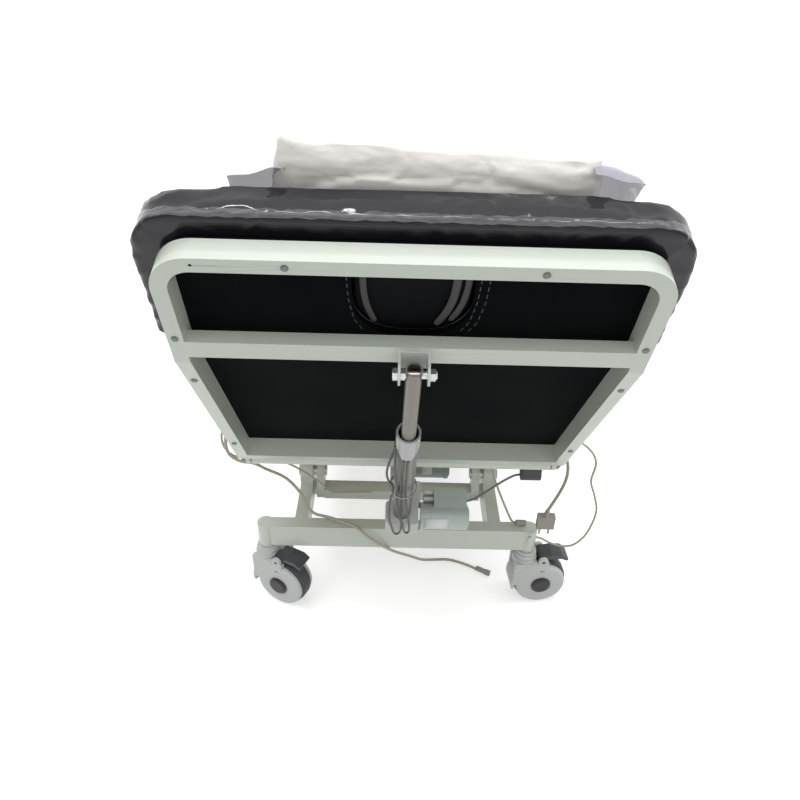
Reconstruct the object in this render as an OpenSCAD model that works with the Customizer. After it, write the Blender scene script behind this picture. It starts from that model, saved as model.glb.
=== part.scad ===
// Electric examination table: wheeled base, parallel-arm lift, seat frame and raised two-part backrest.
// X runs across the table, Y from the head to the foot, Z up from the floor. Millimetres.

/* [Posture at rest] */
// Angle of the lower backrest section above the floor
back_angle = 55.5; // [40:0.5:60]
// Extra angle of the head section over the lower section
head_kink = 16; // [10:1:20]
// Angle of the lift arms above the floor
arm_angle = 23; // [20:1:30]

/* [Backrest frame] */
// Width of the backrest frame over its rails
frame_w = 600; // [580:1:640]
// Width of a frame rail
rail_w = 20; // [18:1:26]
// Depth of a frame rail
rail_d = 34; // [30:1:40]
// Wall of the square and rectangular tubes
tube_wall = 2; // [1.5:0.1:3]
// Length of the lower section, from its bottom end to the bend
lower_len = 425; // [400:1:460]
// Length of the head section, from the bend to its end
head_len = 172; // [160:1:200]
// Outer radius of the two head corners
corner_r = 50; // [40:1:60]
// Height of the crossbar that carries the drive
crossbar_h = 28; // [24:1:34]
// Depth of the crossbar
crossbar_d = 21; // [18:1:26]
// Distance from the bend to the crossbar's lower edge
crossbar_up = 9; // [6:1:14]
// Diameter of the heads of the screws in the rails
screw_head_d = 9; // [7:0.5:12]
// Distance of the head screws from the middle
head_screw_x = 144; // [130:1:180]
// Distance of the side screws from the bend
side_screw_v = 43; // [42:1:80]
// Distance of the open screw hole in the head rail from the middle
spare_hole_x = 247; // [200:1:248]

/* [Backrest hinge] */
// Diameter of the tube round the hinge axis
hinge_tube_d = 28; // [24:1:30]
// Free gap between the hinge tube and the backrest frame
hinge_gap = 1; // [1:0.5:3]
// Height of the hinge axis above the underside of the rails
hinge_in = 10; // [9:0.5:12]
// Diameter of the hinge bolts
hinge_pin_d = 12; // [10:1:14]
// Free gap between a seat rail and the backrest rail beside it
rail_gap = 3; // [2.5:0.5:5]

/* [Seat frame] */
// Length of the seat rails beyond the hinge axis
seat_len = 1220; // [1200:1:1260]
// Distance from the hinge axis to the bar that carries the back drive
drive_bar_y = 96; // [94:1:104]
// Drop of the upper arm pivots below the seat rails
ear_drop = 22; // [22:0.5:30]
// Thickness of the pivot ears
ear_t = 5; // [4:0.5:6]

/* [Upholstery] */
// Width of the upholstery
pad_w = 676; // [650:1:700]
// Thickness of the upholstery, board included
pad_t = 80; // [64:1:88]
// Overhang of the seat cushion past the frame's foot end
pad_over = 20; // [10:1:25]
// Overhang of the back cushion past the frame's head end
head_over = 26; // [12:1:30]
// Radius of the upholstery's plan corners
pad_corner_r = 68; // [40:1:78]
// Rise of the crown at the middle of a pad
pad_crown = 6; // [2:1:10]
// Thickness of the boards under the foam
board_t = 8; // [6:1:10]
// Thickness of the black dust cover
dust_t = 1.2; // [0.8:0.1:2]
// Half the gap between the bevelled pad ends at the hinge
bevel_gap = 3; // [2:0.5:6]
// Width of the face opening in the head section
face_w = 150; // [130:1:170]
// Distance from the bend to the lower edge of the face opening
face_low = 24; // [22:1:30]
// Length of the face opening
face_len = 134; // [120:1:136]
// Free gap round the plug in the face opening
face_gap = 0.5; // [0.3:0.1:2]

/* [Pillow] */
// Width of the pillow
pillow_w = 415; // [380:1:440]
// Length of the pillow up the backrest
pillow_len = 262; // [240:1:280]
// Thickness of the pillow
pillow_t = 76; // [68:1:96]
// Height of the pillow's lower edge above the bend
pillow_low = -28; // [-32:1:-10]
// Sideways place of the pillow
pillow_x = 15; // [0:1:20]
// Turn of the pillow, its right end down
pillow_turn = 3; // [0:0.5:4]

/* [Base] */
// Height of a castor, from the floor to the base bars
castor_h = 158; // [150:1:170]
// Distance from the middle to a castor's swivel axis
castor_x = 288; // [280:1:300]
// Distance between the front and rear castor axes
wheelbase = 950; // [900:1:1000]
// Distance from the backrest hinge axis back to the front castor axis
base_setback = 94; // [90:1:110]
// Height of the base bars
base_h = 56; // [50:1:60]
// Depth of the cross bars of the base
base_bar_d = 30; // [28:1:36]
// Diameter of the corner posts
post_d = 37; // [36:1:40]
// Drop of a corner post below the base bars
post_drop = 3; // [2:1:4]
// Diameter of the screw hole in a front post
post_hole_d = 5.5; // [4:0.5:7]
// Depth of the screw hole in a front post
post_hole_deep = 14; // [10:1:16]
// Distance from the middle to the middle of a base rail
base_rail_x = 212; // [210:1:218]
// Width of a base rail
base_rail_w = 28; // [24:1:30]

/* [Lift] */
// Length of a lift arm between its pivots
arm_len = 520; // [500:1:540]
// Distance between the front and rear arm pivots
arm_pitch = 360; // [340:1:380]
// Distance from the front castor axis to the front arm pivot
pivot_setback = 153; // [150:1:160]
// Height of the lower pivots above the base rails
pivot_rise = 22; // [20:1:26]
// Distance from the middle to the middle of an arm
arm_x = 180; // [178:1:181]
// Width of an arm
arm_w = 18; // [16:1:18]
// Depth of an arm
arm_d = 40; // [36:1:42]
// Diameter of the pivot pins
pivot_d = 16; // [14:1:18]
// Side of the square tube that joins two arms
torque_w = 25; // [22:1:26]
// Length of the lever under the rear arms
lever_len = 85; // [80:1:90]

/* [Drives] */
// Sideways place of the back drive
drive_x = 4; // [0:1:8]
// Distance from the lower to the upper pin of the back drive at rest
drive_len = 640; // [630:1:645]
// Outer diameter of the fixed tubes of both drives
drive_tube_d = 33.4; // [33:0.1:34]
// Wall of the fixed tubes of both drives
drive_wall = 1.2; // [1:0.1:1.4]
// Outer diameter of the moving tubes of both drives
rod_d = 21.5; // [21:0.1:22]
// Wall of the moving tubes
rod_wall = 2; // [1.5:0.1:3]
// Length of the exposed moving tube of the back drive at rest
rod_out = 190; // [180:1:200]
// Length of the back drive's moving tube below its pin
rod_len = 350; // [330:1:360]
// Diameter of the drive pins
drive_pin_d = 10; // [8:1:12]
// Gap between the ears of the upper bracket
bracket_gap = 34; // [30:1:36]
// Thickness of the bracket's sheet
bracket_t = 3; // [2.5:0.5:4]
// Sideways place of the lift drive
lift_x = 12; // [8:1:16]
// Diameter of the motor cans
motor_d = 50; // [46:1:52]
// Length of the motor cans
motor_len = 92; // [80:1:100]

/* [Castors] */
// Diameter of a castor wheel
wheel_d = 120; // [116:1:122]
// Width of the tyre
tyre_w = 34; // [30:1:36]
// Distance from the swivel axis to the axle
trail = 40; // [36:1:42]
// Width of the castor shell
shell_w = 57; // [54:1:60]
// Diameter of the hub caps
cap_d = 44; // [40:1:46]
// Directions in which the castors trail, front left first, then front right
trail_left = -26; // [-60:1:60]
// Direction in which the front right castor trails
trail_right = 4; // [-60:1:60]

/* [Leads] */
// Diameter of the mains lead and the control lead
lead_d = 6.5; // [6:0.5:7]
// Diameter of the thin leads
thin_d = 4.5; // [4:0.5:5]
// Diameter of the slack loops on the back drive
loop_d = 4; // [3.5:0.5:4]

/* [Hidden] */

// Running clearance of a pin in its bore, on the radius
fit = 0.05;
// Clearance between a soft piece and what it lies on
rest_gap = 0.3;
round_fn = 64;
small_fn = 32;

// Distance from the table's middle to the inner face of a seat rail, inside the backrest's rails
seat_rail_x = frame_w / 2 - 2 * rail_w - rail_gap;

// Heights
rail_top = castor_h + base_h;
pivot_z = rail_top + pivot_rise;
seat_z = pivot_z + arm_len * sin(arm_angle) + ear_drop;
hinge_z = seat_z + hinge_in;

// Distance from the hinge axis to the bend, and the head reach beyond the hinge
hinge_r = hinge_tube_d / 2;
back_run = lower_len + hinge_gap + hinge_r;
head_angle = back_angle + head_kink;
bend_reach = back_run * cos(back_angle) + hinge_in * sin(back_angle);
head_reach = bend_reach + head_len * cos(head_angle);
foot_reach = seat_len + pad_over;

// Places along Y, with the whole table centred on the origin
hinge_y = (head_reach - foot_reach) / 2;
front_y = hinge_y + base_setback;
rear_y = front_y + wheelbase;
pivot_y = front_y + pivot_setback;
ear_y = arm_len * cos(arm_angle) + pivot_y - hinge_y;

// Back drive: bracket bolt, lower pin, and the axis between them
bolt_up = 14;
bolt_out = 24;
bolt_y = hinge_y - bend_reach - bolt_up * cos(head_angle) - bolt_out * sin(head_angle);
bend_z = hinge_z + back_run * sin(back_angle) - hinge_in * cos(back_angle);
bolt_z = bend_z + bolt_up * sin(head_angle) - bolt_out * cos(head_angle);
// The line through the two pins leans this much from upright
drive_lean = 28.96;
tail_y = bolt_y + drive_len * sin(drive_lean);
tail_z = bolt_z - drive_len * cos(drive_lean);
// The moving and the fixed tube stand parallel, turned this much off the line through their pins, so that
// the open sliding pair stays clear over the whole travel
drive_turn = -0.358;

// Lift drive: lever under the rear arms and the level axis of the tubes
lever_turn = -107;
lever_y = pivot_y + arm_pitch + lever_len * cos(lever_turn);
lever_z = pivot_z + lever_len * sin(lever_turn);
lift_tail_y = pivot_y + 75;

// Stack of the upholstery above a rail's inner face
board_z = rail_d + dust_t;
foam_z = board_z + board_t + rest_gap;
pad_top = rail_d + pad_t;

function unit(v) = v / norm(v);
function blend3(a, b, c, d, t) = 0.5 * (2 * b + (c - a) * t + (2 * a - 5 * b + 4 * c - d) * t * t
    + (3 * b - a - 3 * c + d) * t * t * t);
function smooth(p, k) = concat([for (i = [0 : len(p) - 2]) for (j = [0 : k - 1])
    blend3(p[max(i - 1, 0)], p[i], p[i + 1], p[min(i + 2, len(p) - 1)], j / k)], [p[len(p) - 1]]);
function tangents(q) = [for (i = [0 : len(q) - 1]) unit(q[min(i + 1, len(q) - 1)] - q[max(i - 1, 0)])];
function side_of(s, t) = unit(s - (s * t) * t);
function side_list(t) = [for (i = 0, s = side_of([0.31, 0.27, 0.91], t[0]); i < len(t);
    i = i + 1, s = side_of(s, t[min(i, len(t) - 1)])) s];
function tube_rings(q, r, n) = let (t = tangents(q), s = side_list(t))
    [for (i = [0 : len(q) - 1]) let (b = cross(t[i], s[i]))
        [for (j = [0 : n - 1]) q[i] + r * (cos(360 * j / n) * s[i] + sin(360 * j / n) * b)]];
function flat(rings) = [for (ring = rings) for (p = ring) p];
function middle(ring) = [for (k = [0 : 2]) [for (p = ring) p[k]] * [for (p = ring) 1] / len(ring)];

// Closed skin over a list of rings, each end closed by a fan about its middle
module skin(rings) {
    m = len(rings[0]);
    last = len(rings) - 1;
    hub = m * len(rings);
    polyhedron(
        points = concat(flat(rings), [middle(rings[0]), middle(rings[last])]),
        faces = concat(
            [for (i = [0 : last - 1]) for (j = [0 : m - 1]) [i * m + j, (i + 1) * m + j, i * m + (j + 1) % m]],
            [for (i = [0 : last - 1]) for (j = [0 : m - 1])
                [i * m + (j + 1) % m, (i + 1) * m + j, (i + 1) * m + (j + 1) % m]],
            [for (j = [0 : m - 1]) [hub, j, (j + 1) % m]],
            [for (j = [0 : m - 1]) [hub + 1, last * m + (j + 1) % m, last * m + j]]));
}

// Round tube swept along a smooth route
module cord(route, d, k) {
    skin(tube_rings(smooth(route, k), d / 2, 8));
}

// Cylinder across the table between two X values
module across(d, x0, x1, fn = round_fn) {
    translate([x0, 0, 0]) rotate([0, 90, 0]) cylinder(d = d, h = x1 - x0, $fn = fn);
}

// Box between two corners, drawn in by s on every side
module block(a, b, s = 0) {
    translate(a + [s, s, s]) cube(b - a - 2 * [s, s, s]);
}

// Plate across X whose outline joins two discs, given as [y, z]; its edges start a little inside the discs
link_in = 0.3;

module link(p, rp, q, rq, x0, x1) {
    n = unit([p[1] - q[1], q[0] - p[0]]);
    translate([x0, 0, 0]) rotate([90, 0, 90]) linear_extrude(x1 - x0) {
        translate(p) circle(r = rp, $fn = round_fn);
        translate(q) circle(r = rq, $fn = round_fn);
        polygon([p + (rp - link_in) * n, q + (rq - link_in) * n, q - (rq - link_in) * n, p - (rp - link_in) * n]);
    }
}

// Left and right copies
module both_sides() {
    children();
    mirror([1, 0, 0]) children();
}

// Frame of the flat backrest about its hinge axis, turned up to its rest angle
module on_back() {
    translate([0, hinge_y, hinge_z]) rotate([-back_angle, 0, 0]) children();
}

// Lower section: origin on the rear face at the bend, -Y up the section, +Z through it
module on_lower() {
    on_back() translate([0, -back_run, -hinge_in]) children();
}

// Head section: the same, past the bend
module on_head() {
    on_lower() rotate([-head_kink, 0, 0]) children();
}

// Seat frame: origin under the hinge axis at the rails' underside
module on_seat() {
    translate([0, hinge_y, seat_z]) children();
}

// Front lower pivot, or the rear one at pitch
module on_pivot(pitch = 0) {
    translate([0, pivot_y + pitch, pivot_z]) children();
}

// Back drive: origin at its lower pin, Z along its axis towards the upper pin, Y away from the head
module on_drive() {
    translate([drive_x, tail_y, tail_z]) rotate([drive_lean + drive_turn, 0, 0]) children();
}

// Lift drive: origin at its fixed pin, Y along its axis
module on_lift() {
    translate([lift_x, lift_tail_y, lever_z]) children();
}

// Sizes of the castor
wheel_r = wheel_d / 2;
swivel_gap = 1.5;
neck_top = castor_h - post_drop - swivel_gap;
disc_r = wheel_r - 4;
disc_in = tyre_w / 2 + 0.8;
wrap_r = wheel_r + 2.5;
stem_d = 28;
stem_len = 36;
spigot_d = 14;
axle_d = 12;
pedal_x = trail - 2;
pedal_z = wheel_d + 10;
pedal_w = 40;

// Places of the four castors: x sign, y, direction of trail
castor_fl = [-1, front_y, trail_left];
castor_fr = [1, front_y, trail_right];
castor_rl = [-1, rear_y, trail_right + 180];
castor_rr = [1, rear_y, trail_left + 180];

module on_castor(c) {
    translate([c[0] * castor_x, c[1], 0]) rotate([0, 0, c[2]]) children();
}

module base_bars(s) {
    for (y = [front_y, rear_y])
        block([-castor_x, y - base_bar_d / 2, castor_h], [castor_x, y + base_bar_d / 2, rail_top], s);
    both_sides() block([base_rail_x - base_rail_w / 2, front_y + base_bar_d / 2 - s, castor_h],
        [base_rail_x + base_rail_w / 2, rear_y - base_bar_d / 2 + s, rail_top], s);
}

tail_bar_y = pivot_y + 30;
tail_bar_w = 25;

module base_frame() {
    bracket_r = 28;
    color("ivory") difference() {
        union() {
            difference() {
                base_bars(0);
                base_bars(tube_wall);
            }
            for (sx = [-1, 1]) for (y = [front_y, rear_y])
                translate([sx * castor_x, y, castor_h - post_drop])
                    cylinder(d = post_d, h = base_h + post_drop, $fn = round_fn);
            for (pitch = [0, arm_pitch]) both_sides() on_pivot(pitch) {
                across(2 * bracket_r, base_rail_x - base_rail_w / 2, base_rail_x + base_rail_w / 2);
                block([base_rail_x - base_rail_w / 2, -bracket_r, -pivot_rise],
                    [base_rail_x + base_rail_w / 2, bracket_r, 0]);
            }
            // Bar under the rails with two ears that hold the lift drive
            difference() {
                block([-base_rail_x - base_rail_w / 2, tail_bar_y, castor_h - tail_bar_w],
                    [base_rail_x + base_rail_w / 2, tail_bar_y + tail_bar_w, castor_h]);
                block([-base_rail_x - base_rail_w / 2, tail_bar_y, castor_h - tail_bar_w],
                    [base_rail_x + base_rail_w / 2, tail_bar_y + tail_bar_w, castor_h], tube_wall);
            }
            for (x = [-lug_half - 1 - ear_t, lug_half + 1])
                link([tail_bar_y + tail_bar_w - 4, castor_h - tail_bar_w / 2], tail_bar_w / 2,
                    [lift_tail_y, lever_z], 12, lift_x + x, lift_x + x + ear_t);
        }
        for (sx = [-1, 1]) for (y = [front_y, rear_y])
            translate([sx * castor_x, y, castor_h - post_drop - 1])
                cylinder(d = stem_d + 2 * fit, h = stem_len + 3, $fn = round_fn);
        for (pitch = [0, arm_pitch]) both_sides() on_pivot(pitch)
            across(pivot_d + 2 * fit, base_rail_x - base_rail_w, base_rail_x + base_rail_w);
        translate([0, lift_tail_y, lever_z])
            across(drive_pin_d + 2 * fit, lift_x - 40, lift_x + 40, small_fn);
        // Screw hole in the right front post
        translate([castor_x, front_y - post_d / 2 - 1, rail_top - 12])
            rotate([-90, 0, 0]) cylinder(d = post_hole_d, h = post_hole_deep + 1, $fn = small_fn);
    }
}

module castor_stems() {
    color("silver") for (c = [castor_fl, castor_fr, castor_rl, castor_rr]) on_castor(c) {
        translate([0, 0, castor_h - post_drop - swivel_gap / 2]) cylinder(d = stem_d, h = stem_len, $fn = round_fn);
        translate([0, 0, neck_top - 30]) cylinder(d = spigot_d, h = 33, $fn = round_fn);
    }
}

module lower_pivot_pins() {
    inner = arm_x - arm_w / 2;
    outer = base_rail_x + base_rail_w / 2;
    color("silver") for (pitch = [0, arm_pitch]) both_sides() on_pivot(pitch) {
        across(pivot_d, inner - 2, outer + 2);
        across(pivot_d + 8, inner - 4, inner - 0.4);
        across(pivot_d + 8, arm_x + arm_w / 2 + 0.4, base_rail_x - base_rail_w / 2 - 0.2);
        across(pivot_d + 10, outer + 0.2, outer + 5, 6);
    }
}

module arm_pair(pitch) {
    far = [arm_len * cos(arm_angle), arm_len * sin(arm_angle)];
    both_sides() on_pivot(pitch) difference() {
        union() {
            link([0, 0], arm_d / 2, far, arm_d / 2, arm_x - arm_w / 2, arm_x + arm_w / 2);
            link([0, 0], 16, torque_at, 16, arm_x - arm_w / 2, arm_x + arm_w / 2);
        }
        rotate([arm_angle, 0, 0]) block([arm_x - arm_w / 2, arm_d / 2, -arm_d / 2],
            [arm_x + arm_w / 2, arm_len - arm_d / 2, arm_d / 2], tube_wall);
        across(pivot_d + 2 * fit, arm_x - arm_w, arm_x + arm_w);
        translate([0, far[0], far[1]]) across(pivot_d + 2 * fit, arm_x - arm_w, arm_x + arm_w);
    }
    on_pivot(pitch) translate([0, torque_at[0], torque_at[1]]) difference() {
        block([-arm_x + arm_w / 2, -torque_w / 2, -torque_w / 2], [arm_x - arm_w / 2, torque_w / 2, torque_w / 2]);
        block([-arm_x + arm_w / 2, -torque_w / 2, -torque_w / 2], [arm_x - arm_w / 2, torque_w / 2, torque_w / 2],
            tube_wall);
    }
}

// Middle of the square tube between two arms, from their pivot
torque_at = [-23, -44];
lug_half = 11;

module front_arms() {
    color("ivory") arm_pair(0);
}

module rear_arms() {
    lever = [lever_len * cos(lever_turn), lever_len * sin(lever_turn)];
    color("ivory") {
        arm_pair(arm_pitch);
        on_pivot(arm_pitch) difference() {
            for (x = [-lug_half - 1 - ear_t, lug_half + 1])
                link(torque_at, torque_w / 2 - 1.5, lever, 12, lift_x + x, lift_x + x + ear_t);
            translate([0, lever[0], lever[1]]) across(drive_pin_d + 2 * fit, lift_x - 40, lift_x + 40, small_fn);
            translate([0, torque_at[0], torque_at[1]]) block([-arm_x, -torque_w / 2, -torque_w / 2],
                [arm_x, torque_w / 2, torque_w / 2], tube_wall);
        }
    }
}

module upper_pivot_pins() {
    far = [arm_len * cos(arm_angle), arm_len * sin(arm_angle)];
    inner = arm_x - arm_w / 2 - 1 - ear_t;
    outer = arm_x + arm_w / 2 + 1 + ear_t;
    color("silver") for (pitch = [0, arm_pitch]) both_sides() on_pivot(pitch) translate([0, far[0], far[1]]) {
        across(pivot_d, inner - 2, outer + 2);
        across(pivot_d + 10, outer + 0.2, outer + 6, 6);
        across(pivot_d + 8, inner - 5, inner - 0.2);
    }
}

// Hooks for the mains lead: places along the right rail, their width, and the lead's line beside the rail's middle
hook_y = [284, 524, 764, 1004];
hook_w = 14;
lead_x = seat_rail_x + 9;
lead_low = 7.18;

module seat_bars(s) {
    far_y = ear_y + arm_pitch;
    both_sides() block([seat_rail_x, rail_d * 0.6, 0], [seat_rail_x + rail_w, seat_len, rail_d], s);
    for (y = [drive_bar_y, ear_y - rail_w / 2, far_y - rail_w / 2, seat_len - rail_w])
        block([-seat_rail_x - s, y, 0], [seat_rail_x + s, y + rail_w, rail_d], s);
}

module seat_frame() {
    ear_r = 17;
    far_y = ear_y + arm_pitch;
    bar_mid = drive_bar_y + rail_w / 2;
    color("ivory") on_seat() difference() {
        union() {
            difference() {
                seat_bars(0);
                seat_bars(tube_wall);
            }
            // Rounded rail ends about the hinge, low enough for the backrest to turn over them
            both_sides() translate([0, 0, hinge_in]) {
                across(hinge_tube_d, seat_rail_x, seat_rail_x + rail_w);
                block([seat_rail_x, 0, -hinge_in], [seat_rail_x + rail_w, rail_d * 0.6 + 1, hinge_r]);
            }
            translate([0, 0, hinge_in]) difference() {
                across(hinge_tube_d, -seat_rail_x, seat_rail_x);
                across(hinge_tube_d - 2 * tube_wall - 1, -seat_rail_x, seat_rail_x);
            }
            // Ears that carry the upper ends of the lift arms
            for (y = [ear_y, far_y]) both_sides()
                for (x = [arm_x - arm_w / 2 - 1 - ear_t, arm_x + arm_w / 2 + 1]) {
                    block([x, y - ear_r, -ear_drop], [x + ear_t, y + ear_r, 0]);
                    translate([0, y, -ear_drop]) across(2 * ear_r, x, x + ear_t);
                }
            // Hooks under the right rail that hold the mains lead
            for (y = hook_y) translate([lead_x - lead_d, y, -lead_low]) {
                block([-2, -hook_w / 2, -lead_d / 2 - 2.15], [2 * lead_d + 2, hook_w / 2, -lead_d / 2 - 0.15]);
                block([2 * lead_d, -hook_w / 2, -lead_d / 2 - 1], [2 * lead_d + 2, hook_w / 2, lead_low + 0.5]);
            }
            // Plates that carry the lower pin of the back drive
            for (x = [-lug_half - 1 - ear_t, lug_half + 1])
                link([bar_mid, rail_w / 2], rail_w / 2, [tail_y - hinge_y, tail_z - seat_z], 13,
                    drive_x + x, drive_x + x + ear_t);
        }
        translate([0, tail_y - hinge_y, tail_z - seat_z])
            across(drive_pin_d + 2 * fit, drive_x - 40, drive_x + 40, small_fn);
        for (y = [ear_y, far_y]) both_sides() translate([0, y, -ear_drop])
            across(pivot_d + 2 * fit, arm_x - arm_w, arm_x + arm_w);
        both_sides() translate([0, 0, hinge_in])
            across(hinge_pin_d + 2 * fit, seat_rail_x - 1, seat_rail_x + 2 * rail_w);
    }
}

lug_gap = 2;
lug_t = 9;

module hinge_bolts() {
    lug_in = seat_rail_x + rail_w + lug_gap;
    color("dimgray") both_sides() translate([0, hinge_y, hinge_z]) {
        across(hinge_pin_d, seat_rail_x - 10, lug_in + lug_t + 1);
        across(hinge_pin_d + 8, lug_in - lug_gap + 0.2, lug_in - 0.2);
        across(hinge_pin_d + 11, lug_in + lug_t + 0.2, lug_in + lug_t + 6);
        translate([lug_in + lug_t + 5.9, 0, 0]) rotate([0, 90, 0])
            cylinder(d1 = hinge_pin_d + 11, d2 = hinge_pin_d + 3, h = 4, $fn = round_fn);
    }
}

// Side view of a bent layer of the backrest between two heights above its rear face; low_y gives the lower
// ends at the two heights, and end_v how far it goes up the head section
module bent_layer(z0, z1, x0, x1, low_y, end_v) {
    function head_point(z) = [z * sin(head_kink) - end_v * cos(head_kink), z * cos(head_kink) + end_v * sin(head_kink)];
    function bend_point(z) = [z * tan(head_kink / 2), z];
    translate([x0, 0, 0]) rotate([90, 0, 90]) linear_extrude(x1 - x0)
        polygon([[low_y[0], z0], bend_point(z0), head_point(z0), head_point(z1), bend_point(z1), [low_y[1], z1]]);
}

corner_v = head_len - corner_r;
// Half the gap between the mitred rail ends, and how far the weld in it stands out of the rails
weld_gap = 0.2;
weld_proud = 0.3;

// Outline of the head section, drawn in by s and running past the bend
module head_outline(s) {
    r = corner_r - s;
    w = frame_w / 2 - s;
    translate([-w, -corner_v]) square([2 * w, corner_v + rail_d]);
    translate([r - w, -corner_v - r]) square([2 * (w - r), r + 1]);
    both_sides() translate([w - r, -corner_v]) circle(r = r, $fn = 96);
}

// Rails, bottom bar, rounded head end and crossbar of the backrest, drawn in by s on every side. The lower and
// the head frame are cut to a mitre where they are welded together at the bend.
module backrest_bars(s) {
    mitre = tan(head_kink / 2);
    on_lower() {
        both_sides() translate([frame_w / 2 - rail_w + s, 0, 0]) rotate([90, 0, 90]) linear_extrude(rail_w - 2 * s)
            polygon([[lower_len - s, s], [s + weld_gap + s * mitre, s],
                [s + weld_gap + (rail_d - s) * mitre, rail_d - s], [lower_len - s, rail_d - s]]);
        block([-frame_w / 2 + rail_w, lower_len - rail_w, 0], [frame_w / 2 - rail_w, lower_len, rail_d], s);
    }
    on_head() {
        difference() {
            translate([0, 0, s]) linear_extrude(rail_d - 2 * s) difference() {
                head_outline(s);
                head_outline(rail_w - s);
            }
            rotate([head_kink / 2, 0, 0])
                block([-frame_w, -s - weld_gap, -rail_d], [frame_w, 2 * rail_d, 2 * rail_d]);
        }
        block([-frame_w / 2 + rail_w, -crossbar_up - crossbar_h, 0],
            [frame_w / 2 - rail_w, -crossbar_up, crossbar_d], s);
    }
}

// Places of the screws in the rear faces of the rails
module at_screws() {
    side_x = (frame_w - rail_w) / 2;
    on_lower() for (v = [60, lower_len - 90]) both_sides() translate([side_x, v, 0]) children();
    on_head() both_sides() translate([side_x, -side_screw_v, 0]) children();
    on_head() both_sides() translate([head_screw_x, rail_w / 2 - head_len, 0]) children();
}

module screw_hole() {
    translate([0, 0, -1]) cylinder(d = 4.2, h = 4, $fn = small_fn);
}

module backrest_frame() {
    lug_in = seat_rail_x + rail_w + lug_gap;
    color("ivory") difference() {
        union() {
            difference() {
                backrest_bars(0);
                backrest_bars(tube_wall);
            }
            // Welds between the lower and the head rails
            on_lower() rotate([-head_kink / 2, 0, 0]) both_sides()
                block([frame_w / 2 - rail_w - weld_proud, -1.8, -weld_proud], [frame_w / 2 + weld_proud, 1.8, rail_d]);
            // Rounded lugs that turn on the hinge bolts
            on_back() both_sides() {
                across(hinge_tube_d, lug_in, lug_in + lug_t);
                block([lug_in, -hinge_r - hinge_gap - 1, -hinge_in], [lug_in + lug_t, 0, hinge_r - 1]);
            }
        }
        on_back() both_sides() across(hinge_pin_d + 2 * fit, lug_in - 5, lug_in + 2 * lug_t);
        on_head() translate([drive_x, -bolt_up - 8, -1]) for (dx = [-9, 9])
            translate([dx, 0, 0]) cylinder(d = 5 + 2 * fit, h = 4, $fn = small_fn);
        at_screws() screw_hole();
        on_head() translate([-spare_hole_x, rail_w / 2 - head_len, 0]) screw_hole();
    }
}

// Pan head screw in the rear face of a rail
module pan_screw() {
    translate([0, 0, -2.2]) cylinder(d1 = screw_head_d - 3, d2 = screw_head_d, h = 1.4, $fn = small_fn);
    translate([0, 0, -0.9]) cylinder(d = screw_head_d, h = 0.8, $fn = small_fn);
    translate([0, 0, -0.5]) cylinder(d = 4, h = 3.4, $fn = small_fn);
}

module frame_screws() {
    color("silver") at_screws() pan_screw();
}

module rod_bracket() {
    reach = 38;
    color("gainsboro") on_head() translate([drive_x, 0, 0]) difference() {
        union() {
            block([-bracket_gap / 2 - bracket_t, -bolt_up - 18, -bracket_t],
                [bracket_gap / 2 + bracket_t, -bolt_up + 12, 0]);
            for (x = [-bracket_gap / 2 - bracket_t, bracket_gap / 2]) {
                block([x, -bolt_up - 18, -reach + 14], [x + bracket_t, -bolt_up + 12, 0]);
                translate([0, -bolt_up, -bolt_out]) across(2 * (reach - bolt_out), x, x + bracket_t);
            }
            translate([0, -bolt_up - 8, 0]) for (dx = [-9, 9])
                translate([dx, 0, -0.5]) cylinder(d = 5, h = 3, $fn = small_fn);
        }
        translate([0, -bolt_up, -bolt_out]) across(drive_pin_d + 2 * fit, -40, 40, small_fn);
    }
}

module bracket_bolt() {
    ear = bracket_gap / 2 + bracket_t;
    color("silver") on_head() translate([drive_x, -bolt_up, -bolt_out]) {
        across(drive_pin_d, -ear - 7, ear + 9, small_fn);
        across(17, -ear - 6.5, -ear - 0.1, 6);
        across(17, ear + 0.1, ear + 7, 6);
        across(16, -bracket_gap / 2 + 0.2, -rod_d / 2 - 0.4, 6);
    }
}

// Lower end of a layer at height z, bevelled to clear the seat when the backrest stands up
function bevel_y(z, cut) = back_run - (z - hinge_in) * tan(back_angle / 2) - cut;

module back_layer(z0, z1, half_w, end_v, cut) {
    on_lower() bent_layer(z0, z1, -half_w, half_w, [bevel_y(z0, cut), bevel_y(z1, cut)], end_v);
}

face_corner = 58;
face_top_r = 20;

module face_shape(grow) {
    w = face_w / 2 + grow;
    r = face_corner + grow;
    top = -face_low - face_len - grow;
    low = -face_low + grow;
    for (m = [0, 1]) mirror([m, 0]) {
        translate([w - r, low - r]) circle(r = r, $fn = round_fn);
        translate([w - face_top_r, top + face_top_r]) circle(r = face_top_r, $fn = small_fn);
    }
    translate([-w + r, low - r]) square([2 * (w - r), r]);
    translate([-w, top + face_top_r]) square([2 * w, low - r - top - face_top_r]);
    translate([-w + face_top_r, top]) square([2 * (w - face_top_r), face_top_r]);
}

module face_cut(z0, z1, grow) {
    on_head() translate([0, 0, z0]) linear_extrude(z1 - z0) face_shape(grow);
}

// Rounds the head corners of a sheet to radius r
module corner_trim(r) {
    reach = corner_r + 20;
    on_head() both_sides() translate([frame_w / 2 - corner_r, corner_r - head_len, rail_d - 10])
        linear_extrude(40) difference() {
            translate([0, -reach]) square(reach);
            circle(r = r, $fn = round_fn);
        }
}

module dust_cover() {
    color("black") difference() {
        back_layer(rail_d, rail_d + dust_t, frame_w / 2 - 6, head_len - 8, 12);
        face_cut(rail_d - 10, rail_d + 20, 0);
        corner_trim(corner_r - 11);
    }
}

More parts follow.
